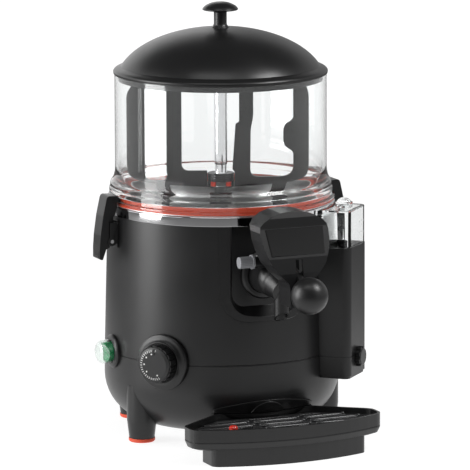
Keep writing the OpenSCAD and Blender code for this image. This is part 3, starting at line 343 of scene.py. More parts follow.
def make_materials():
    """One material for each slot of the record."""
    f = finishes()
    steel = tuple(f.steel_colour)
    casing = tuple(f.casing_colour)
    return {
        "casing_black": moulded("satin_black", casing, f.casing_roughness),
        "trim_black": moulded("fine_black", tuple(f.trim_colour), 0.36, 0.12),
        "gloss_black": moulded("gloss_black", (0.003, 0.003, 0.0032), 0.1, 0.02, 0.3),
        "latch_grey": moulded("charcoal", tuple(f.latch_colour), 0.33, 0.2, 0.0, 0.35),
        # Drip grid: glossier and lighter than the charcoal of its slot; the lighter grey is a
        # painted sheen for the highlights on slats and pegs.
        "grid_grey_painted_sheen": moulded("grid_grey_painted_sheen", (0.03, 0.03, 0.031), 0.22, 0.1),
        # Hub seals: the red silicone made brighter, painted light for the light that reaches
        # them through the clear bowl.
        "hub_red_painted_light": rubber("hub_red_painted_light", (0.9, 0.06, 0.025), 0.4),
        "paddle_grey": moulded("paddle_grey", tuple(f.paddle_colour), 0.32, 0.2),
        "clear_plastic": clear("clear_polycarbonate", (0.97, 0.98, 0.98)),
        "boot_clear": clear("clear_boot", (0.93, 0.97, 0.95), 0.08, 1.42),
        "red_rubber": rubber("red_silicone", tuple(f.seal_colour)),
        "steel": metal("polished_steel", steel, 0.06, (6, 6, 900), 0.03),
        "sheet_steel": metal("sheet_steel", (0.62, 0.63, 0.64), 0.32, (1, 12, 12)),
        "bronze": metal("bronze", (0.5, 0.33, 0.12), 0.3, (8, 8, 1)),
        "motor_grey": moulded("motor_grey", (0.06, 0.065, 0.07), 0.45),
        "element": metal("element_sheath", (0.16, 0.14, 0.12), 0.45, (4, 4, 4)),
        "insulator": moulded("cream_plastic", (0.62, 0.58, 0.46), 0.5),
        "green_lens": moulded("green_lens", tuple(f.lamp_colour), 0.15, 0.03, 0.5),
        "knob_grey": moulded("knurled_grey", (0.28, 0.285, 0.3), 0.34, 0.2),
        "white_print": moulded("white_print", (0.75, 0.75, 0.74), 0.45, 0.02),
        "ball_black": moulded("ball_black", casing, 0.38, 0.15),
        "pan_steel": metal("pan_steel", (0.8, 0.8, 0.8), 0.3, (12, 12, 1), 0.1),
        "float_red": moulded("float_red", (0.65, 0.03, 0.015), 0.2, 0.05, 0.4),
    }


MATERIALS = {}
# Finishes that differ from a node's slot; the hub seals' brighter red is painted light.
OWN_FINISH = {"tap_ball": "ball_black", "product_pan": "pan_steel", "hub_seals": "hub_red_painted_light",
              "shield_plate": "gloss_black"}


def slot_of(node):
    """The record's material slot of a node."""
    for part in frame["record"]["subparts"]:
        if part["node"] == node:
            return part["material_slot"]
    raise RuntimeError(f"no sub-part {node}")


def paint(obj, slot):
    """Gives an object one slot's material."""
    obj.data.materials.clear()
    obj.data.materials.append(MATERIALS[slot])
    return obj


# ---- surfaces ---------------------------------------------------------------------------


def rounded(points, radii, steps=5):
    """Outline with each corner replaced by a parabola tangent to both of its sides, which
    starts one radius away from the corner, or at 45% of a side that is too short for it."""
    p = np.asarray(points, float)
    r = np.broadcast_to(np.asarray(radii, float), (len(p),))[:, None]
    back = np.roll(p, 1, 0) - p
    ahead = np.roll(p, -1, 0) - p
    back_len = np.linalg.norm(back, axis=1, keepdims=True)
    ahead_len = np.linalg.norm(ahead, axis=1, keepdims=True)
    a = (p + back * np.minimum(r / back_len, 0.45))[:, None]
    b = (p + ahead * np.minimum(r / ahead_len, 0.45))[:, None]
    s = np.linspace(0, 1, steps)[None, :, None]
    curve = (1 - s) ** 2 * a + 2 * s * (1 - s) * p[:, None] + s ** 2 * b
    curve = curve.reshape(-1, 2)
    apart = np.linalg.norm(curve - np.roll(curve, 1, 0), axis=1) > 1e-7
    return curve[apart]


def turned(outline, turns=96):
    """Surface of revolution about a local z axis: the outline's point (r, z) goes to
    x = r cos t, y = r sin t at height z, for t once round."""
    t = np.linspace(0, TAU, turns, endpoint=False)
    r = outline[:, 0, None]
    z = np.repeat(outline[:, 1, None], turns, 1)
    return np.stack([r * np.cos(t), r * np.sin(t), z], -1)


def spun(outline, turns=224):
    """Surface of revolution about the machine's axis."""
    return turned(outline, turns) + np.array([0, AXIS_Y, 0])


def level(r, heights):
    """Outline points at one radius and several heights."""
    return np.column_stack([np.full(len(heights), r), heights])


def facing(points, bearing, reach, height):
    """Carries points from a wall's own frame, x along the wall, y up and z outwards, to a
    bearing round the machine's axis, at a reach from it and a height."""
    along = np.array([math.cos(bearing), math.sin(bearing), 0])
    out = np.array([math.sin(bearing), -math.cos(bearing), 0])
    origin = np.array([0, AXIS_Y, height]) + out * reach
    p = np.asarray(points, float)
    return origin + p[..., :1] * along + p[..., 1:2] * np.array([0, 0, 1.0]) + p[..., 2:] * out


def grid_faces(rows, cols, wrap_rows, wrap_cols):
    """Four corner numbers for each cell of a grid of points, row by row."""
    i = np.arange(rows if wrap_rows else rows - 1)[:, None]
    j = np.arange(cols if wrap_cols else cols - 1)[None, :]
    below, beside = (i + 1) % rows, (j + 1) % cols
    corners = [i * cols + j, i * cols + beside, below * cols + beside, below * cols + j]
    return np.stack([np.broadcast_to(c, (i.size, j.size)) for c in corners], -1).reshape(-1, 4)


def add_mesh(name, points, faces, sharp=32):
    """Mesh object with doubles merged, faces pointing outwards and edges over an angle
    kept sharp."""
    mesh = bpy.data.meshes.new(name)
    mesh.from_pydata(np.asarray(points, float).reshape(-1, 3).tolist(), [], faces)
    work = bmesh.new()
    work.from_mesh(mesh)
    bmesh.ops.remove_doubles(work, verts=work.verts, dist=2e-7)
    bmesh.ops.dissolve_degenerate(work, edges=work.edges, dist=1e-8)
    bmesh.ops.recalc_face_normals(work, faces=work.faces)
    if work.calc_volume(signed=True) < 0:
        bmesh.ops.reverse_faces(work, faces=work.faces)
    work.to_mesh(mesh)
    work.free()
    mesh.polygons.foreach_set("use_smooth", np.ones(len(mesh.polygons), bool))
    mesh.set_sharp_from_angle(angle=math.radians(sharp))
    obj = bpy.data.objects.new(name, mesh)
    bpy.context.scene.collection.objects.link(obj)
    return obj


def surface(name, grid, wrap_rows=True, wrap_cols=True):
    """Mesh object over a grid of points, rows by columns by three."""
    rows, cols = grid.shape[:2]
    return add_mesh(name, grid, grid_faces(rows, cols, wrap_rows, wrap_cols).tolist())


def loft(name, rings, sharp=32):
    """Closed solid over rings of points, with the first and last ring filled flat."""
    rows, cols = rings.shape[:2]
    faces = grid_faces(rows, cols, False, True).tolist()
    faces += [list(range(cols))[::-1], list(range((rows - 1) * cols, rows * cols))]
    return add_mesh(name, rings, faces, sharp)


def joined(name, objects):
    """One object out of several."""
    with bpy.context.temp_override(active_object=objects[0], object=objects[0],
                                   selected_objects=objects, selected_editable_objects=objects):
        bpy.ops.object.join()
    objects[0].name = name
    return objects[0]


def dress(obj, slot, body, *nodes, finish=None):
    """Paints a piece, rides it on its body and lets it stand for nodes of the frame."""
    paint(obj, finish or slot)
    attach(obj, body)
    if nodes:
        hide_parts(*nodes)
    return obj


# ---- operators --------------------------------------------------------------------------


# Millimetres by which a node's edges are rounded, and within which its corners are merged.
EDGE = 0.4
SOFT_EDGES = {"latch_lever_left": 3.2, "latch_lever_right": 3.2, "shield_cover": 1.2,
              "tank_cover": 0.9, "tap_lever": 0.9}
WELD_REACH = 0.005


class DISPENSER_OT_finishes(bpy.types.Operator):
    """Makes the materials and gives each node of the frame its own"""

    bl_idname = "dispenser.finishes"
    bl_label = "Finishes"

    def execute(self, context):
        MATERIALS.update(make_materials())
        for name, obj in frame["nodes"].items():
            paint(obj, OWN_FINISH.get(name, slot_of(name)))
            self.soften(obj, SOFT_EDGES.get(name, EDGE) * MM, 5 if name in SOFT_EDGES else 2)
        return {"FINISHED"}

    def soften(self, obj, width, segments):
        """Rounds a node's edges with modifiers, as a mould leaves them."""
        weld = obj.modifiers.new("weld", "WELD")
        weld.merge_threshold = WELD_REACH * MM
        bevel = obj.modifiers.new("edges", "BEVEL")
        bevel.width = width
        bevel.segments = segments
        bevel.limit_method = "ANGLE"
        bevel.angle_limit = math.radians(35)
        normals = obj.modifiers.new("normals", "WEIGHTED_NORMAL")
        normals.keep_sharp = True


class DISPENSER_OT_lid(bpy.types.Operator):
    """Domed lid with its rim and skirt, and the knob on its stem"""

    bl_idname = "dispenser.lid"
    bl_label = "Lid"

    def execute(self, context):
        s = sizes()
        rim = half_width("lid")
        foot, top = low("lid")[2], high("lid")[2]
        seat = high("bowl")[2]
        ledge = seat - 2.6 * MM
        rim_top = ledge + 7 * MM
        centre = top - s.dome_rise
        dome = rim - 2.2 * MM
        skirt = s.bowl_radius - s.bowl_wall - 1 * MM

        def arc(inset, start):
            """Quarter of an ellipse: r = a cos t, z = b sin t, from a height up to the top."""
            t = np.linspace(math.asin((start - centre) / (s.dome_rise - inset)), TAU / 4, 72)
            return np.column_stack([(dome - inset) * np.cos(t),
                                    centre + (s.dome_rise - inset) * np.sin(t)])

        outside = arc(0, rim_top + 0.6 * MM)
        inside = arc(s.lid_wall, seat + 4 * MM)
        edge = rounded([
            inside[0], (skirt - s.lid_wall, seat - 2 * MM), (skirt - s.lid_wall, foot),
            (skirt, foot), (skirt, seat + 0.3 * MM), (s.bowl_radius + 0.3 * MM, seat + 0.3 * MM),
            (s.bowl_radius + 0.3 * MM, ledge), (rim - 0.4 * MM, ledge),
            (rim - 0.4 * MM, ledge + 1.2 * MM), (rim, ledge + 1.4 * MM),
            (rim, ledge + 3.2 * MM), (dome + 0.2 * MM, rim_top - 1.6 * MM), outside[0],
        ], np.array([0, 1, 0.8, 0.8, 0.3, 0.2, 0.3, 0.3, 0.3, 0.8, 1.6, 3, 0]) * MM)
        outline = np.vstack([inside[::-1], edge[1:-1], outside])
        dress(surface("lid_dome", spun(outline), wrap_rows=False), "casing_black",
              "lid_assembly", "lid")
        self.knob(s.stem_radius, top)
        return {"FINISHED"}

    def knob(self, stem, dome_top):
        """Mushroom cap with a thin edge, on a straight stem with a flared foot."""
        reach = half_width("lid_knob")
        top = high("lid_knob")[2]
        cap = rounded([
            (0, top), (reach * 0.45, top - 0.6 * MM), (reach * 0.85, top - 4.2 * MM),
            (reach, top - 7.8 * MM), (reach - 1 * MM, top - 9 * MM),
            (stem + 1 * MM, top - 8.6 * MM), (0, top - 8.6 * MM),
        ], np.array([0, 6, 5, 1, 1, 1.5, 0]) * MM, 8)
        dress(surface("knob_cap", spun(cap, 128), wrap_rows=False), "casing_black",
              "lid_assembly", "lid_knob")
        neck = rounded([
            (0, top - 8.5 * MM), (stem + 1 * MM, top - 8.5 * MM), (stem, top - 11 * MM),
            (stem, dome_top + 3 * MM), (stem + 2.6 * MM, dome_top - 0.3 * MM),
            (0, dome_top - 0.5 * MM),
        ], np.array([0, 0.4, 1, 2, 0.3, 0]) * MM, 8)
        dress(surface("knob_stem", spun(neck, 96), wrap_rows=False), "casing_black",
              "lid_assembly", "lid_knob_stem")


class DISPENSER_OT_bowl(bpy.types.Operator):
    """Clear bowl with its stepped flange, and the red seal in it"""

    bl_idname = "dispenser.bowl"
    bl_label = "Bowl"

    def execute(self, context):
        s = sizes()
        foot, top = low("bowl")[2], high("bowl")[2]
        flange = half_width("bowl")
        inner = s.bowl_radius - s.bowl_wall
        seal_top = high("bowl_gasket")[2]
        step = foot + 3 * MM
        wall = np.linspace(step + 40 * MM, top - 4 * MM, 24)
        outside = rounded([
            (flange - 8.5 * MM, foot), (flange - 8.5 * MM, seal_top + 0.2 * MM),
            (flange - 4.5 * MM, seal_top + 0.2 * MM), (flange - 4.5 * MM, foot),
            (flange, foot), (flange, step), (flange - 2.2 * MM, step + 0.6 * MM),
            (flange - 2.2 * MM, step + 9 * MM), (flange - 3.4 * MM, step + 11 * MM),
            (flange - 3.4 * MM, step + 15 * MM), (s.bowl_radius + 2 * MM, step + 19 * MM),
            (s.bowl_radius, step + 27 * MM), (s.bowl_radius, step + 39 * MM),
        ], np.array([0.4, 0.4, 0.4, 0.4, 0.8, 0.8, 0.6, 1.5, 1.5, 2, 4, 6, 0]) * MM, 8)[:-1]
        lip = rounded([(s.bowl_radius, top - 3 * MM), (s.bowl_radius, top), (inner, top),
                       (inner, top - 3 * MM)], np.array([0, 0.9, 0.9, 0]) * MM, 8)
        rows = [outside, level(s.bowl_radius, wall), lip, level(inner, wall[::-1]),
                level(inner, np.linspace(step + 30 * MM, foot + 2 * MM, 12)),
                rounded([(inner, foot + 1.5 * MM), (inner, foot), (inner + 2 * MM, foot)],
                        np.array([0, 0.5, 0]) * MM)]
        dress(surface("bowl_glass", spun(np.vstack(rows))), "clear_plastic", "machine", "bowl")
        pan = low_radius("bowl_gasket")
        seal = rounded([
            (pan, low("bowl_gasket")[2]), (flange - 0.6 * MM, low("bowl_gasket")[2]),
            (flange - 0.6 * MM, foot), (flange - 4.8 * MM, foot),
            (flange - 4.8 * MM, seal_top), (flange - 8.2 * MM, seal_top),
            (flange - 8.2 * MM, foot), (pan, foot),
        ], np.array([0.2, 0.2, 0.2, 0.2, 1, 1, 0.2, 0.2]) * MM)
        dress(surface("bowl_seal", spun(seal)), "red_rubber", "machine", "bowl_gasket")
        return {"FINISHED"}


def drawn_in(loop, distance):
    """Outline moved inwards, each point along the bisector of its two sides' normals. A
    window's outline, which runs clockwise, grows by it."""
    ahead = np.roll(loop, -1, 0) - loop
    ahead /= np.linalg.norm(ahead, axis=1, keepdims=True)
    normal = np.column_stack([-ahead[:, 1], ahead[:, 0]])
    both = normal + np.roll(normal, 1, 0)
    return loop + distance * both / np.maximum((both ** 2).sum(1, keepdims=True) / 2, 0.3)


def plate(name, loops, thick, edge, place):
    """Flat plate with windows. The first outline runs counterclockwise and the windows'
    clockwise; each becomes a wall of four rows with chamfered edges, the two faces are
    filled between them, and place carries (along, up, off the middle) to the machine."""
    points, faces, rims = [], [], []
    start = 0
    for loop in loops:
        narrow = drawn_in(loop, edge)
        for row, off in ((narrow, thick / 2), (loop, thick / 2 - edge),
                         (loop, edge - thick / 2), (narrow, -thick / 2)):
            points.append(np.column_stack([row, np.full(len(row), off)]))
        faces += (grid_faces(4, len(loop), False, True) + start).tolist()
        rims.append((narrow, start))
        start += 4 * len(loop)
    filled = np.array(tessellate_polygon([[(x / MM, y / MM, 0) for x, y in n]
                                          for n, _ in rims]))
    for row in (0, 3):
        numbers = np.concatenate([s + row * len(n) + np.arange(len(n)) for n, s in rims])
        faces += numbers[filled].tolist()
    return add_mesh(name, place(np.vstack(points)), faces)


def swung(points, angle):
    """Turns (along, height, off) to the machine's frame: the blade's line lies at an angle
    to X through the axis, so x = u cos a - w sin a and y = u sin a + w cos a."""
    u, z, w = points[..., 0], points[..., 1], points[..., 2]
    return np.stack([u * math.cos(angle) - w * math.sin(angle),
                     AXIS_Y + u * math.sin(angle) + w * math.cos(angle), z], -1)


class DISPENSER_OT_stirrer(bpy.types.Operator):
    """Stirring paddle: a plate with three windows, stiffened edges and a lower sweep"""

    bl_idname = "dispenser.stirrer"
    bl_label = "Stirrer"

    def execute(self, context):
        s = sizes()
        inner = s.bowl_radius / MM - s.bowl_wall / MM
        long_arm, short_arm = inner - 9.6, inner - 16.2
        foot = low("bowl")[2] / MM + 2
        top = high("bowl")[2] / MM - 3
        roof = top - 6
        sweep = low("paddle")[2] / MM
        reach = s.sweep_reach / MM
        chamfer = 0.3 * MM

        def swing(points):
            """Turns the blade to its angle at rest."""
            return swung(points, s.paddle_angle)

        def outline(points, radii, steps):
            """Rounded outline from millimetres along the blade and up."""
            return rounded(np.array(points) * MM, np.array(radii) * MM, steps)

        blade = outline([
            (short_arm, foot + 10.2), (short_arm, top - 22), (short_arm - 7.4, top),
            (12.2, top + 4), (12.2, roof), (19.8, roof), (19.8, foot + 79), (15.9, foot + 77.5),
            (12.4, foot + 28), (14.7, foot + 25.5), (14.7, foot + 2.5), (-14.7, foot + 2.5),
            (-14.7, foot + 26.4), (-42.2, foot + 26.4), (-42.2, roof), (-12.2, roof),
            (-12.2, top + 4), (14 - long_arm, top), (-long_arm, top - 22),
            (-long_arm, foot + 7), (0, foot),
        ], [24, 5, 5, 1, 1, 6, 2, 2, 1, 1, 1, 1, 1, 8, 6, 1, 1, 5, 5, 28, 8], 7)
        left_window = outline([
            (19.4 - long_arm, foot + 12.5), (19.4 - long_arm, roof), (44 - long_arm, roof),
            (44 - long_arm, foot + 12.5)], [14, 6, 6, 14], 9)
        right_window = outline([
            (31.6, foot + 19.7), (32.2, foot + 71.5), (35, foot + 85.5), (35, roof),
            (short_arm - 16.8, roof), (short_arm - 16.8, foot + 82),
            (short_arm - 27.5, foot + 76), (short_arm - 27.5, foot + 53.5),
            (short_arm - 16.8, foot + 47.5), (short_arm - 16.8, foot + 19.7),
        ], [9, 5, 5, 6, 6, 4, 8, 8, 4, 15], 9)
        pieces = [plate("blade", [blade, left_window, right_window], s.paddle_thick, chamfer,
                        swing)]
        rib = np.array([(-6.2, 2.4), (-1.6, 5.4), (1, 5.4), (1, -5.4), (-1.6, -5.4),
                        (-6.2, -2.4)]) * MM
        rows = np.linspace(foot + 24, roof - 1, 9)[:, None] * MM
        for edge, turn in ((18.4 - long_arm, 1), (44 - long_arm, -1)):
            along = edge * MM + turn * rib[None, :, 0]
            grid = np.stack(np.broadcast_arrays(along, rows, rib[None, :, 1]), -1)
            pieces.append(loft("rib", swing(grid)))
        tooth, bar_top = foot + 14, sweep + 13
        lower = outline([
            (-reach, sweep), (reach, sweep), (reach, bar_top), (72, bar_top), (72, tooth),
            (56, tooth), (56, bar_top), (-56, bar_top), (-56, tooth), (-72, tooth),
            (-72, bar_top), (-reach, bar_top)], [5, 5, 5, 2, 4, 4, 2, 2, 4, 4, 2, 5], 8)
        pieces.append(plate("sweep", [lower], s.paddle_thick - 0.2 * MM, chamfer, swing))
        bore, hub = 7.6, 13
        for z0, z1 in ((foot - 0.5, foot + 2.5), (sweep, foot - 20)):
            ring = outline([(bore, z0), (hub, z0), (hub, z1), (bore, z1)], 0.5, 5)
            pieces.append(surface("hub", spun(ring, 96)))
        dress(joined("paddle_blade", pieces), "paddle_grey", "agitator", "paddle")
        return {"FINISHED"}


class DISPENSER_OT_dial(bpy.types.Operator):
    """White scale on the thermostat's knob: a ring of ticks and five dots inside it"""

    bl_idname = "dispenser.dial"
    bl_label = "Dial scale"
    TICKS = 24

    def execute(self, context):
        s = sizes()
        height = (low("thermostat_knob")[2] + high("thermostat_knob")[2]) / 2

        def on_dial(points):
            """From the dial's own face to the machine's frame."""
            return facing(points, s.dial_bearing, s.dial_reach, height)

        marks = [add_mesh("ticks", on_dial(self.ticks()), self.tick_faces())]
        dome = rounded([(0, -0.1 * MM), (0.85 * MM, -0.1 * MM), (0.85 * MM, 0.14 * MM),
                        (0, 0.16 * MM)], np.array([0, 0, 0.2, 0]) * MM)
        for t in np.radians([103, 140, 180, 222, 292]):
            spot = turned(dome, 20) + np.array([math.cos(t), math.sin(t), 0]) * 11.6 * MM
            marks.append(surface("dot", on_dial(spot), wrap_rows=False))
        dress(joined("dial_scale", marks), "insulator", "thermostat_dial", finish="white_print")
        return {"FINISHED"}

    def ticks(self):
        """Eight corners for each tick: a thin box from one radius to another whose lower and
        upper sides follow the knob's face, which slopes from 15 mm outwards."""
        t = np.radians(np.linspace(83, 295, self.TICKS))[:, None, None]
        along = np.concatenate([np.cos(t), np.sin(t)], -1)
        across = np.concatenate([-np.sin(t), np.cos(t)], -1) * 0.32 * MM
        r = np.array([14.1, 14.1, 16.4, 16.4])[None, :, None] * MM
        side = np.array([-1, 1, -1, 1])[None, :, None]
        flat = along * r + side * across
        depth = np.broadcast_to(-0.235 * np.maximum(r - 15 * MM, 0), (self.TICKS, 4, 1))
        layers = [np.concatenate([flat, depth + lift * MM], -1) for lift in (-0.1, 0.12)]
        return np.concatenate(layers, 1).reshape(-1, 3)

    def tick_faces(self):
        """Six sides for each tick's eight corners."""
        box = np.array([(0, 1, 3, 2), (4, 6, 7, 5), (0, 4, 5, 1), (1, 5, 7, 3), (3, 7, 6, 2),
                        (2, 6, 4, 0)])
        return (box + 8 * np.arange(self.TICKS)[:, None, None]).reshape(-1, 4).tolist()


def bar(name, start, end, width, height, base):
    """Slat with a rounded top between two places: half an ellipse across, width wide and
    height high, that ends in quarter rounds."""
    t = np.linspace(0, math.pi, 11)
    start, end = np.asarray(start, float), np.asarray(end, float)
    along = (end - start) / np.linalg.norm(end - start)
    across = np.array([-along[1], along[0]])
    reach = np.linalg.norm(end - start)
    stations = np.concatenate([[0, 0.25, 0.8], np.linspace(1.6, reach / MM - 1.6, 7),
                               [reach / MM - 0.8, reach / MM - 0.25, reach / MM]]) * MM
    edge = np.minimum(stations, reach - stations)
    swell = np.sqrt(np.clip(1 - (1 - np.minimum(edge / (1.6 * MM), 1)) ** 2, 0.02, 1))
    x = np.cos(t)[None, :] * width / 2 * swell[:, None]
    z = base + np.sin(t)[None, :] * height * swell[:, None]
    xy = start + stations[:, None, None] * along + x[..., None] * across
    ring = np.concatenate([np.concatenate([xy, z[..., None]], -1),
                           np.concatenate([xy[:, ::-1], np.full((*x.shape, 1), base - 1.5 * MM)],
                                          -1)], 1)
    return loft(name, ring, 40)


class DISPENSER_OT_grid(bpy.types.Operator):
    """Drip grid: a deck with three fields of wide slots, round topped slats and pegs"""

    bl_idname = "dispenser.grid"
    bl_label = "Drip grid"

    def execute(self, context):
        top = high("tray_grid")[2] - 1.2 * MM
        thick = 3 * MM
        half = half_width("tray_grid")
        front = AXIS_Y - low("tray_grid")[1]
        back = AXIS_Y - high("tray_grid")[1]
        bow = sizes().tray_bow

        def bow_y(x):
            """Front edge of the deck at a distance from the middle."""
            return -front + bow - np.sqrt(bow ** 2 - x ** 2)

        x = np.linspace(-half + 13 * MM, half - 13 * MM, 25)
        arc = np.column_stack([x, bow_y(x)])
        side = bow_y(half - 1 * MM)
        outline = np.vstack([
            arc, rounded([arc[-1], (half, side), (half, -back - 36 * MM)],
                         np.array([0, 12, 0]) * MM, 8)[1:],
            [(57 * MM, -back - 0.5 * MM), (-57 * MM, -back - 0.5 * MM)],
            rounded([(-half, -back - 36 * MM), (-half, side), arc[0]],
                    np.array([0, 12, 0]) * MM, 8)[:-1]])

        def deck_reach(y):
            """Half width that the deck leaves for a slot at a depth, in millimetres: the
            smaller of the front's bow, the slanted back corners and the sides."""
            ahead = max(front / MM + y - 3, 1)
            bowed = math.sqrt(2 * bow / MM * ahead - ahead ** 2)
            return min(bowed, 57 + (-y - back / MM - 3.5) * 1.39, half / MM - 5)

        def disc(centre, radius):
            """Round hole, clockwise, from millimetres."""
            t = np.linspace(TAU, 0, 33)[:-1]
            return (np.column_stack([np.cos(t), np.sin(t)]) * radius + centre) * MM

        def put(points):
            """From the deck's plan to the machine's frame."""
            return points + np.array([0, AXIS_Y, top - thick / 2])

        pieces = []
        peg = turned(rounded([(0, -2), (2.5, -2), (2.5, 1.9), (0, 2.8)], [0, 0, 1.6, 0.6], 6)
                     * MM, 24)
        holes = [disc((-58, -166), 5.6), disc((-1, -169), 8)]
        fields = ((-96, -30), (-26, 28), (32, 92))
        round_the_float = ((-96, -67), (-49, -30), (-26, -12), (10, 28), (32, 92))
        round_the_notch = ((-96, -30), (-26, -12), (10, 28), (32, 92))
        for row, spans in enumerate((fields, fields, round_the_float, round_the_notch)):
            y = -back / MM - 12 - 16 * row
            for slot in spans:
                reach = min(deck_reach(y - 4.6), deck_reach(y + 4.6))
                x0, x1 = max(slot[0] + 2, -reach), min(slot[1] - 2, reach)
                holes.append(rounded(np.array([(x0, y - 4.4), (x0, y + 4.4), (x1, y + 4.4),
                                               (x1, y - 4.4)]) * MM, 2 * MM, 5))
            slat = y - 8
            reach = deck_reach(slat - 2) - 2
            for span in (fields[1:] if spans is round_the_float else fields):
                x0, x1 = max(span[0] + 3, -reach) * MM, min(span[1], reach) * MM
                at = AXIS_Y + slat * MM
                pieces.append(bar("slat", (x0, at), (x1, at), 5 * MM, 1.8 * MM, top))
                pieces.append(surface("peg", peg + np.array([x1, at, top]), wrap_rows=False))
        deck = plate("deck", [outline, *holes], thick, 0.25 * MM, put)
        # Deck, slats and pegs take the lighter grid grey, a painted sheen over the charcoal.
        dress(joined("grid_deck", [deck, *pieces]), "latch_grey", "grid", "tray_grid",
              finish="grid_grey_painted_sheen")
        return {"FINISHED"}


class DISPENSER_OT_stage(bpy.types.Operator):
    """Sets up the floor, the studio light and the camera"""

    bl_idname = "dispenser.stage"
    bl_label = "Stage"

    def execute(self, context):
        s = context.scene.dispenser_stage
        make_camera(s)
        make_light(s)
        make_floor()
        context.scene.view_settings.view_transform = "Standard"
        return {"FINISHED"}


def matrix_of(axes, place):
    """World matrix from three axes and a place."""
    columns = np.column_stack([*axes, place])
    return Matrix([*columns.tolist(), [0, 0, 0, 1]])


def make_camera(s):
    """Camera on a circle round the axis, tilted down, with a small yaw and roll."""
    turn = s.bearing + s.yaw
    place = np.array([s.distance * math.sin(s.bearing),
                      AXIS_Y - s.distance * math.cos(s.bearing), s.height])
    level = np.array([-math.sin(turn), math.cos(turn), 0])
    ahead = level * math.cos(s.tilt) - np.array([0, 0, math.sin(s.tilt)])
    right = np.array([math.cos(turn), math.sin(turn), 0])
    up = np.cross(right, ahead)
    side = right * math.cos(s.roll) + up * math.sin(s.roll)
    top = up * math.cos(s.roll) - right * math.sin(s.roll)
    data = bpy.data.cameras.new("camera")
    data.lens = s.lens
    data.sensor_width = 36
    data.clip_start = 0.1
    data.clip_end = 60
    camera = bpy.data.objects.new("camera", data)
    bpy.context.scene.collection.objects.link(camera)
    camera.matrix_world = matrix_of((side, top, -ahead), place)
    bpy.context.scene.camera = camera


# Height on the machine's axis that the lamps aim at.
SOFTBOX_AIM = 0.24


def softbox(name, bearing, elevation, distance, size, power):
    """Rectangular lamp at a bearing and an elevation in degrees and a distance, aimed at the
    machine's axis. Its size is its width and height."""
    data = bpy.data.lights.new(name, "AREA")
    data.shape = "RECTANGLE"
    data.size, data.size_y = size
    data.energy = power
    lamp = bpy.data.objects.new(name, data)
    bpy.context.scene.collection.objects.link(lamp)
    b, e = math.radians(bearing), math.radians(elevation)
    away = np.array([math.sin(b) * math.cos(e), -math.cos(b) * math.cos(e), math.sin(e)])
    x = np.cross(np.array([0, 0, 1.0]), away)
    x /= np.linalg.norm(x)
    y = np.cross(away, x)
    lamp.matrix_world = matrix_of((x, y, away), np.array([0, AXIS_Y, SOFTBOX_AIM])
                                  + away * distance)


def white_to_eye(tree, shader, white):
    """Puts plain white in a shader's place wherever the camera sees it directly or through
    clear plastic."""
    path = tree.nodes.new("ShaderNodeLightPath")
    seen = tree.nodes.new("ShaderNodeMath")
    seen.operation = "MAXIMUM"
    tree.links.new(path.outputs["Is Camera Ray"], seen.inputs[0])
    tree.links.new(path.outputs["Is Transmission Ray"], seen.inputs[1])
    choose = tree.nodes.new("ShaderNodeMixShader")
    tree.links.new(seen.outputs[0], choose.inputs[0])
    tree.links.new(shader.outputs[0], choose.inputs[1])
    tree.links.new(white.outputs[0], choose.inputs[2])
    output = next(n for n in tree.nodes if n.type.startswith("OUTPUT"))
    tree.links.new(choose.outputs[0], output.inputs["Surface"])


def glow(name, strength, diffuse=0.0):
    """Stage material: a grey that takes the lamps' light and glows by itself."""
    material = bpy.data.materials.new(name)
    material.use_nodes = True
    shader = material.node_tree.nodes["Principled BSDF"]
    shader.inputs["Base Color"].default_value = (diffuse, diffuse, diffuse, 1)
    shader.inputs["Roughness"].default_value = 1.0
    shader.inputs["Specular IOR Level"].default_value = 0.0
    shader.inputs["Emission Color"].default_value = (1, 1, 1, 1)
    shader.inputs["Emission Strength"].default_value = strength
    return material


def make_cove(s, side, strength):
    """Upright wall to one side, from the camera's half to the back, that lights the machine
    and shows in its gloss and is not seen itself, so the machine can be viewed from all
    round."""
    t = np.linspace(s.bearing + side * s.cove_gap, s.bearing + side * math.pi, 41)
    wall = np.stack([np.tile(s.cove_radius * np.sin(t), (5, 1)),
                     np.tile(AXIS_Y - s.cove_radius * np.cos(t), (5, 1)),
                     np.repeat(np.linspace(0, s.cove_height, 5)[:, None], len(t), 1)], -1)
    cove = surface("cove", wall, wrap_rows=False, wrap_cols=False)
    cove.data.materials.append(glow("cove", strength))
    cove.visible_camera = False
    cove.visible_transmission = False


def make_light(s):
    """Dim world that looks white, a bright cove on each side that meet at the back, and
    softboxes."""
    world = bpy.data.worlds.new("studio")
    bpy.context.scene.world = world
    world.use_nodes = True
    background = world.node_tree.nodes["Background"]
    background.inputs["Color"].default_value = (1, 1, 1, 1)
    background.inputs["Strength"].default_value = s.fill
    white = world.node_tree.nodes.new("ShaderNodeBackground")
    white.inputs["Color"].default_value = (1, 1, 1, 1)
    white_to_eye(world.node_tree, background, white)
    make_cove(s, -1, s.cove_left)
    make_cove(s, 1, s.cove_right)
    lean = math.degrees(s.bearing)
    softbox("left_box", lean - 74, 6, 1.5, (0.7, 1.7), s.left_power)
    softbox("right_box", lean + 67, 44, 1.6, (0.5, 0.6), s.right_power)
    softbox("top_box", lean - 10, 62, 1.9, (1.2, 0.5), s.top_power)


# The grey is what the eye sees of the lamps' light on the floor, over the floor's own glow.
FLOOR_RADIUS = 12
FLOOR_GREY = 0.26


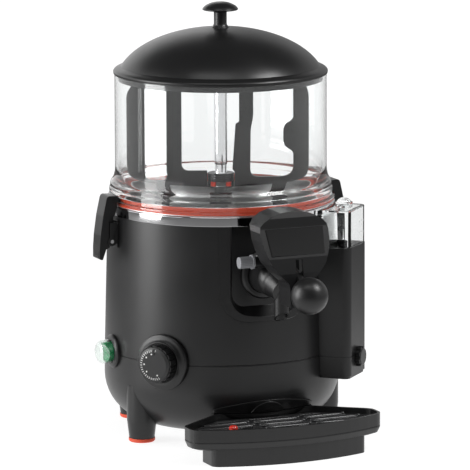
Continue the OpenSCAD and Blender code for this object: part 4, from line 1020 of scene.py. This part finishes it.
def make_floor():
    """Round floor that is white to the eye with a faint shadow under the machine. To the
    machine it is a dark grey that glows near its foot and fades outwards."""
    t = np.linspace(0, TAU, 97)[:-1]
    rim = np.column_stack([np.cos(t), np.sin(t), np.zeros(len(t))]) * FLOOR_RADIUS
    mesh = bpy.data.meshes.new("floor")
    mesh.from_pydata(rim.tolist(), [], [list(range(len(t)))])
    floor = bpy.data.objects.new("floor", mesh)
    bpy.context.scene.collection.objects.link(floor)
    material = glow("floor", 0, diffuse=0.2)
    tree = material.node_tree
    spot = tree.nodes.new("ShaderNodeTexCoord").outputs["Object"]
    length = tree.nodes.new("ShaderNodeVectorMath")
    length.operation = "LENGTH"
    tree.links.new(spot, length.inputs[0])
    away = length.outputs["Value"]
    shader = tree.nodes["Principled BSDF"]
    tree.links.new(ranged(tree, away, 0.35, 1.1, 0.85, 0.08), shader.inputs["Emission Strength"])
    shine = tree.nodes.new("ShaderNodeEmission")
    tree.links.new(ranged(tree, away, 1.0, 4.0, 0.86, 1.0), shine.inputs["Strength"])
    matt = tree.nodes.new("ShaderNodeBsdfDiffuse")
    matt.inputs["Color"].default_value = (FLOOR_GREY, FLOOR_GREY, FLOOR_GREY, 1)
    white = tree.nodes.new("ShaderNodeAddShader")
    for part, socket in zip((shine, matt), white.inputs):
        tree.links.new(part.outputs[0], socket)
    white_to_eye(tree, shader, white)
    mesh.materials.append(material)


# ---- add-on -----------------------------------------------------------------------------


class DISPENSER_PT_panel(bpy.types.Panel):
    """Lists the machine's pieces and settings"""

    bl_label = "Hot chocolate dispenser"
    bl_space_type = "VIEW_3D"
    bl_region_type = "UI"
    bl_category = "Dispenser"

    def draw(self, context):
        layout = self.layout
        scene = context.scene
        for group in (scene.dispenser_finishes, scene.dispenser_forms, scene.dispenser_stage):
            box = layout.box()
            for key in group.__annotations__:
                box.prop(group, key)
        for operator in OPERATORS:
            layout.operator(operator.bl_idname)


OPERATORS = (
    DISPENSER_OT_finishes,
    DISPENSER_OT_lid,
    DISPENSER_OT_bowl,
    DISPENSER_OT_stirrer,
    DISPENSER_OT_dial,
    DISPENSER_OT_grid,
    DISPENSER_OT_stage,
)
CLASSES = (DispenserFinishes, DispenserForms, DispenserStage, *OPERATORS, DISPENSER_PT_panel)


def register():
    """Registers the classes and hangs the settings on the scene."""
    for cls in CLASSES:
        bpy.utils.register_class(cls)
    bpy.types.Scene.dispenser_finishes = bpy.props.PointerProperty(type=DispenserFinishes)
    bpy.types.Scene.dispenser_forms = bpy.props.PointerProperty(type=DispenserForms)
    bpy.types.Scene.dispenser_stage = bpy.props.PointerProperty(type=DispenserStage)


def unregister():
    """Takes the settings and the classes away again."""
    del bpy.types.Scene.dispenser_stage
    del bpy.types.Scene.dispenser_forms
    del bpy.types.Scene.dispenser_finishes
    for cls in reversed(CLASSES):
        bpy.utils.unregister_class(cls)


def main():
    """Makes every piece in order."""
    register()
    for operator in OPERATORS:
        family, name = operator.bl_idname.split(".")
        getattr(getattr(bpy.ops, family), name)()


if __name__ == "__main__":
    main()
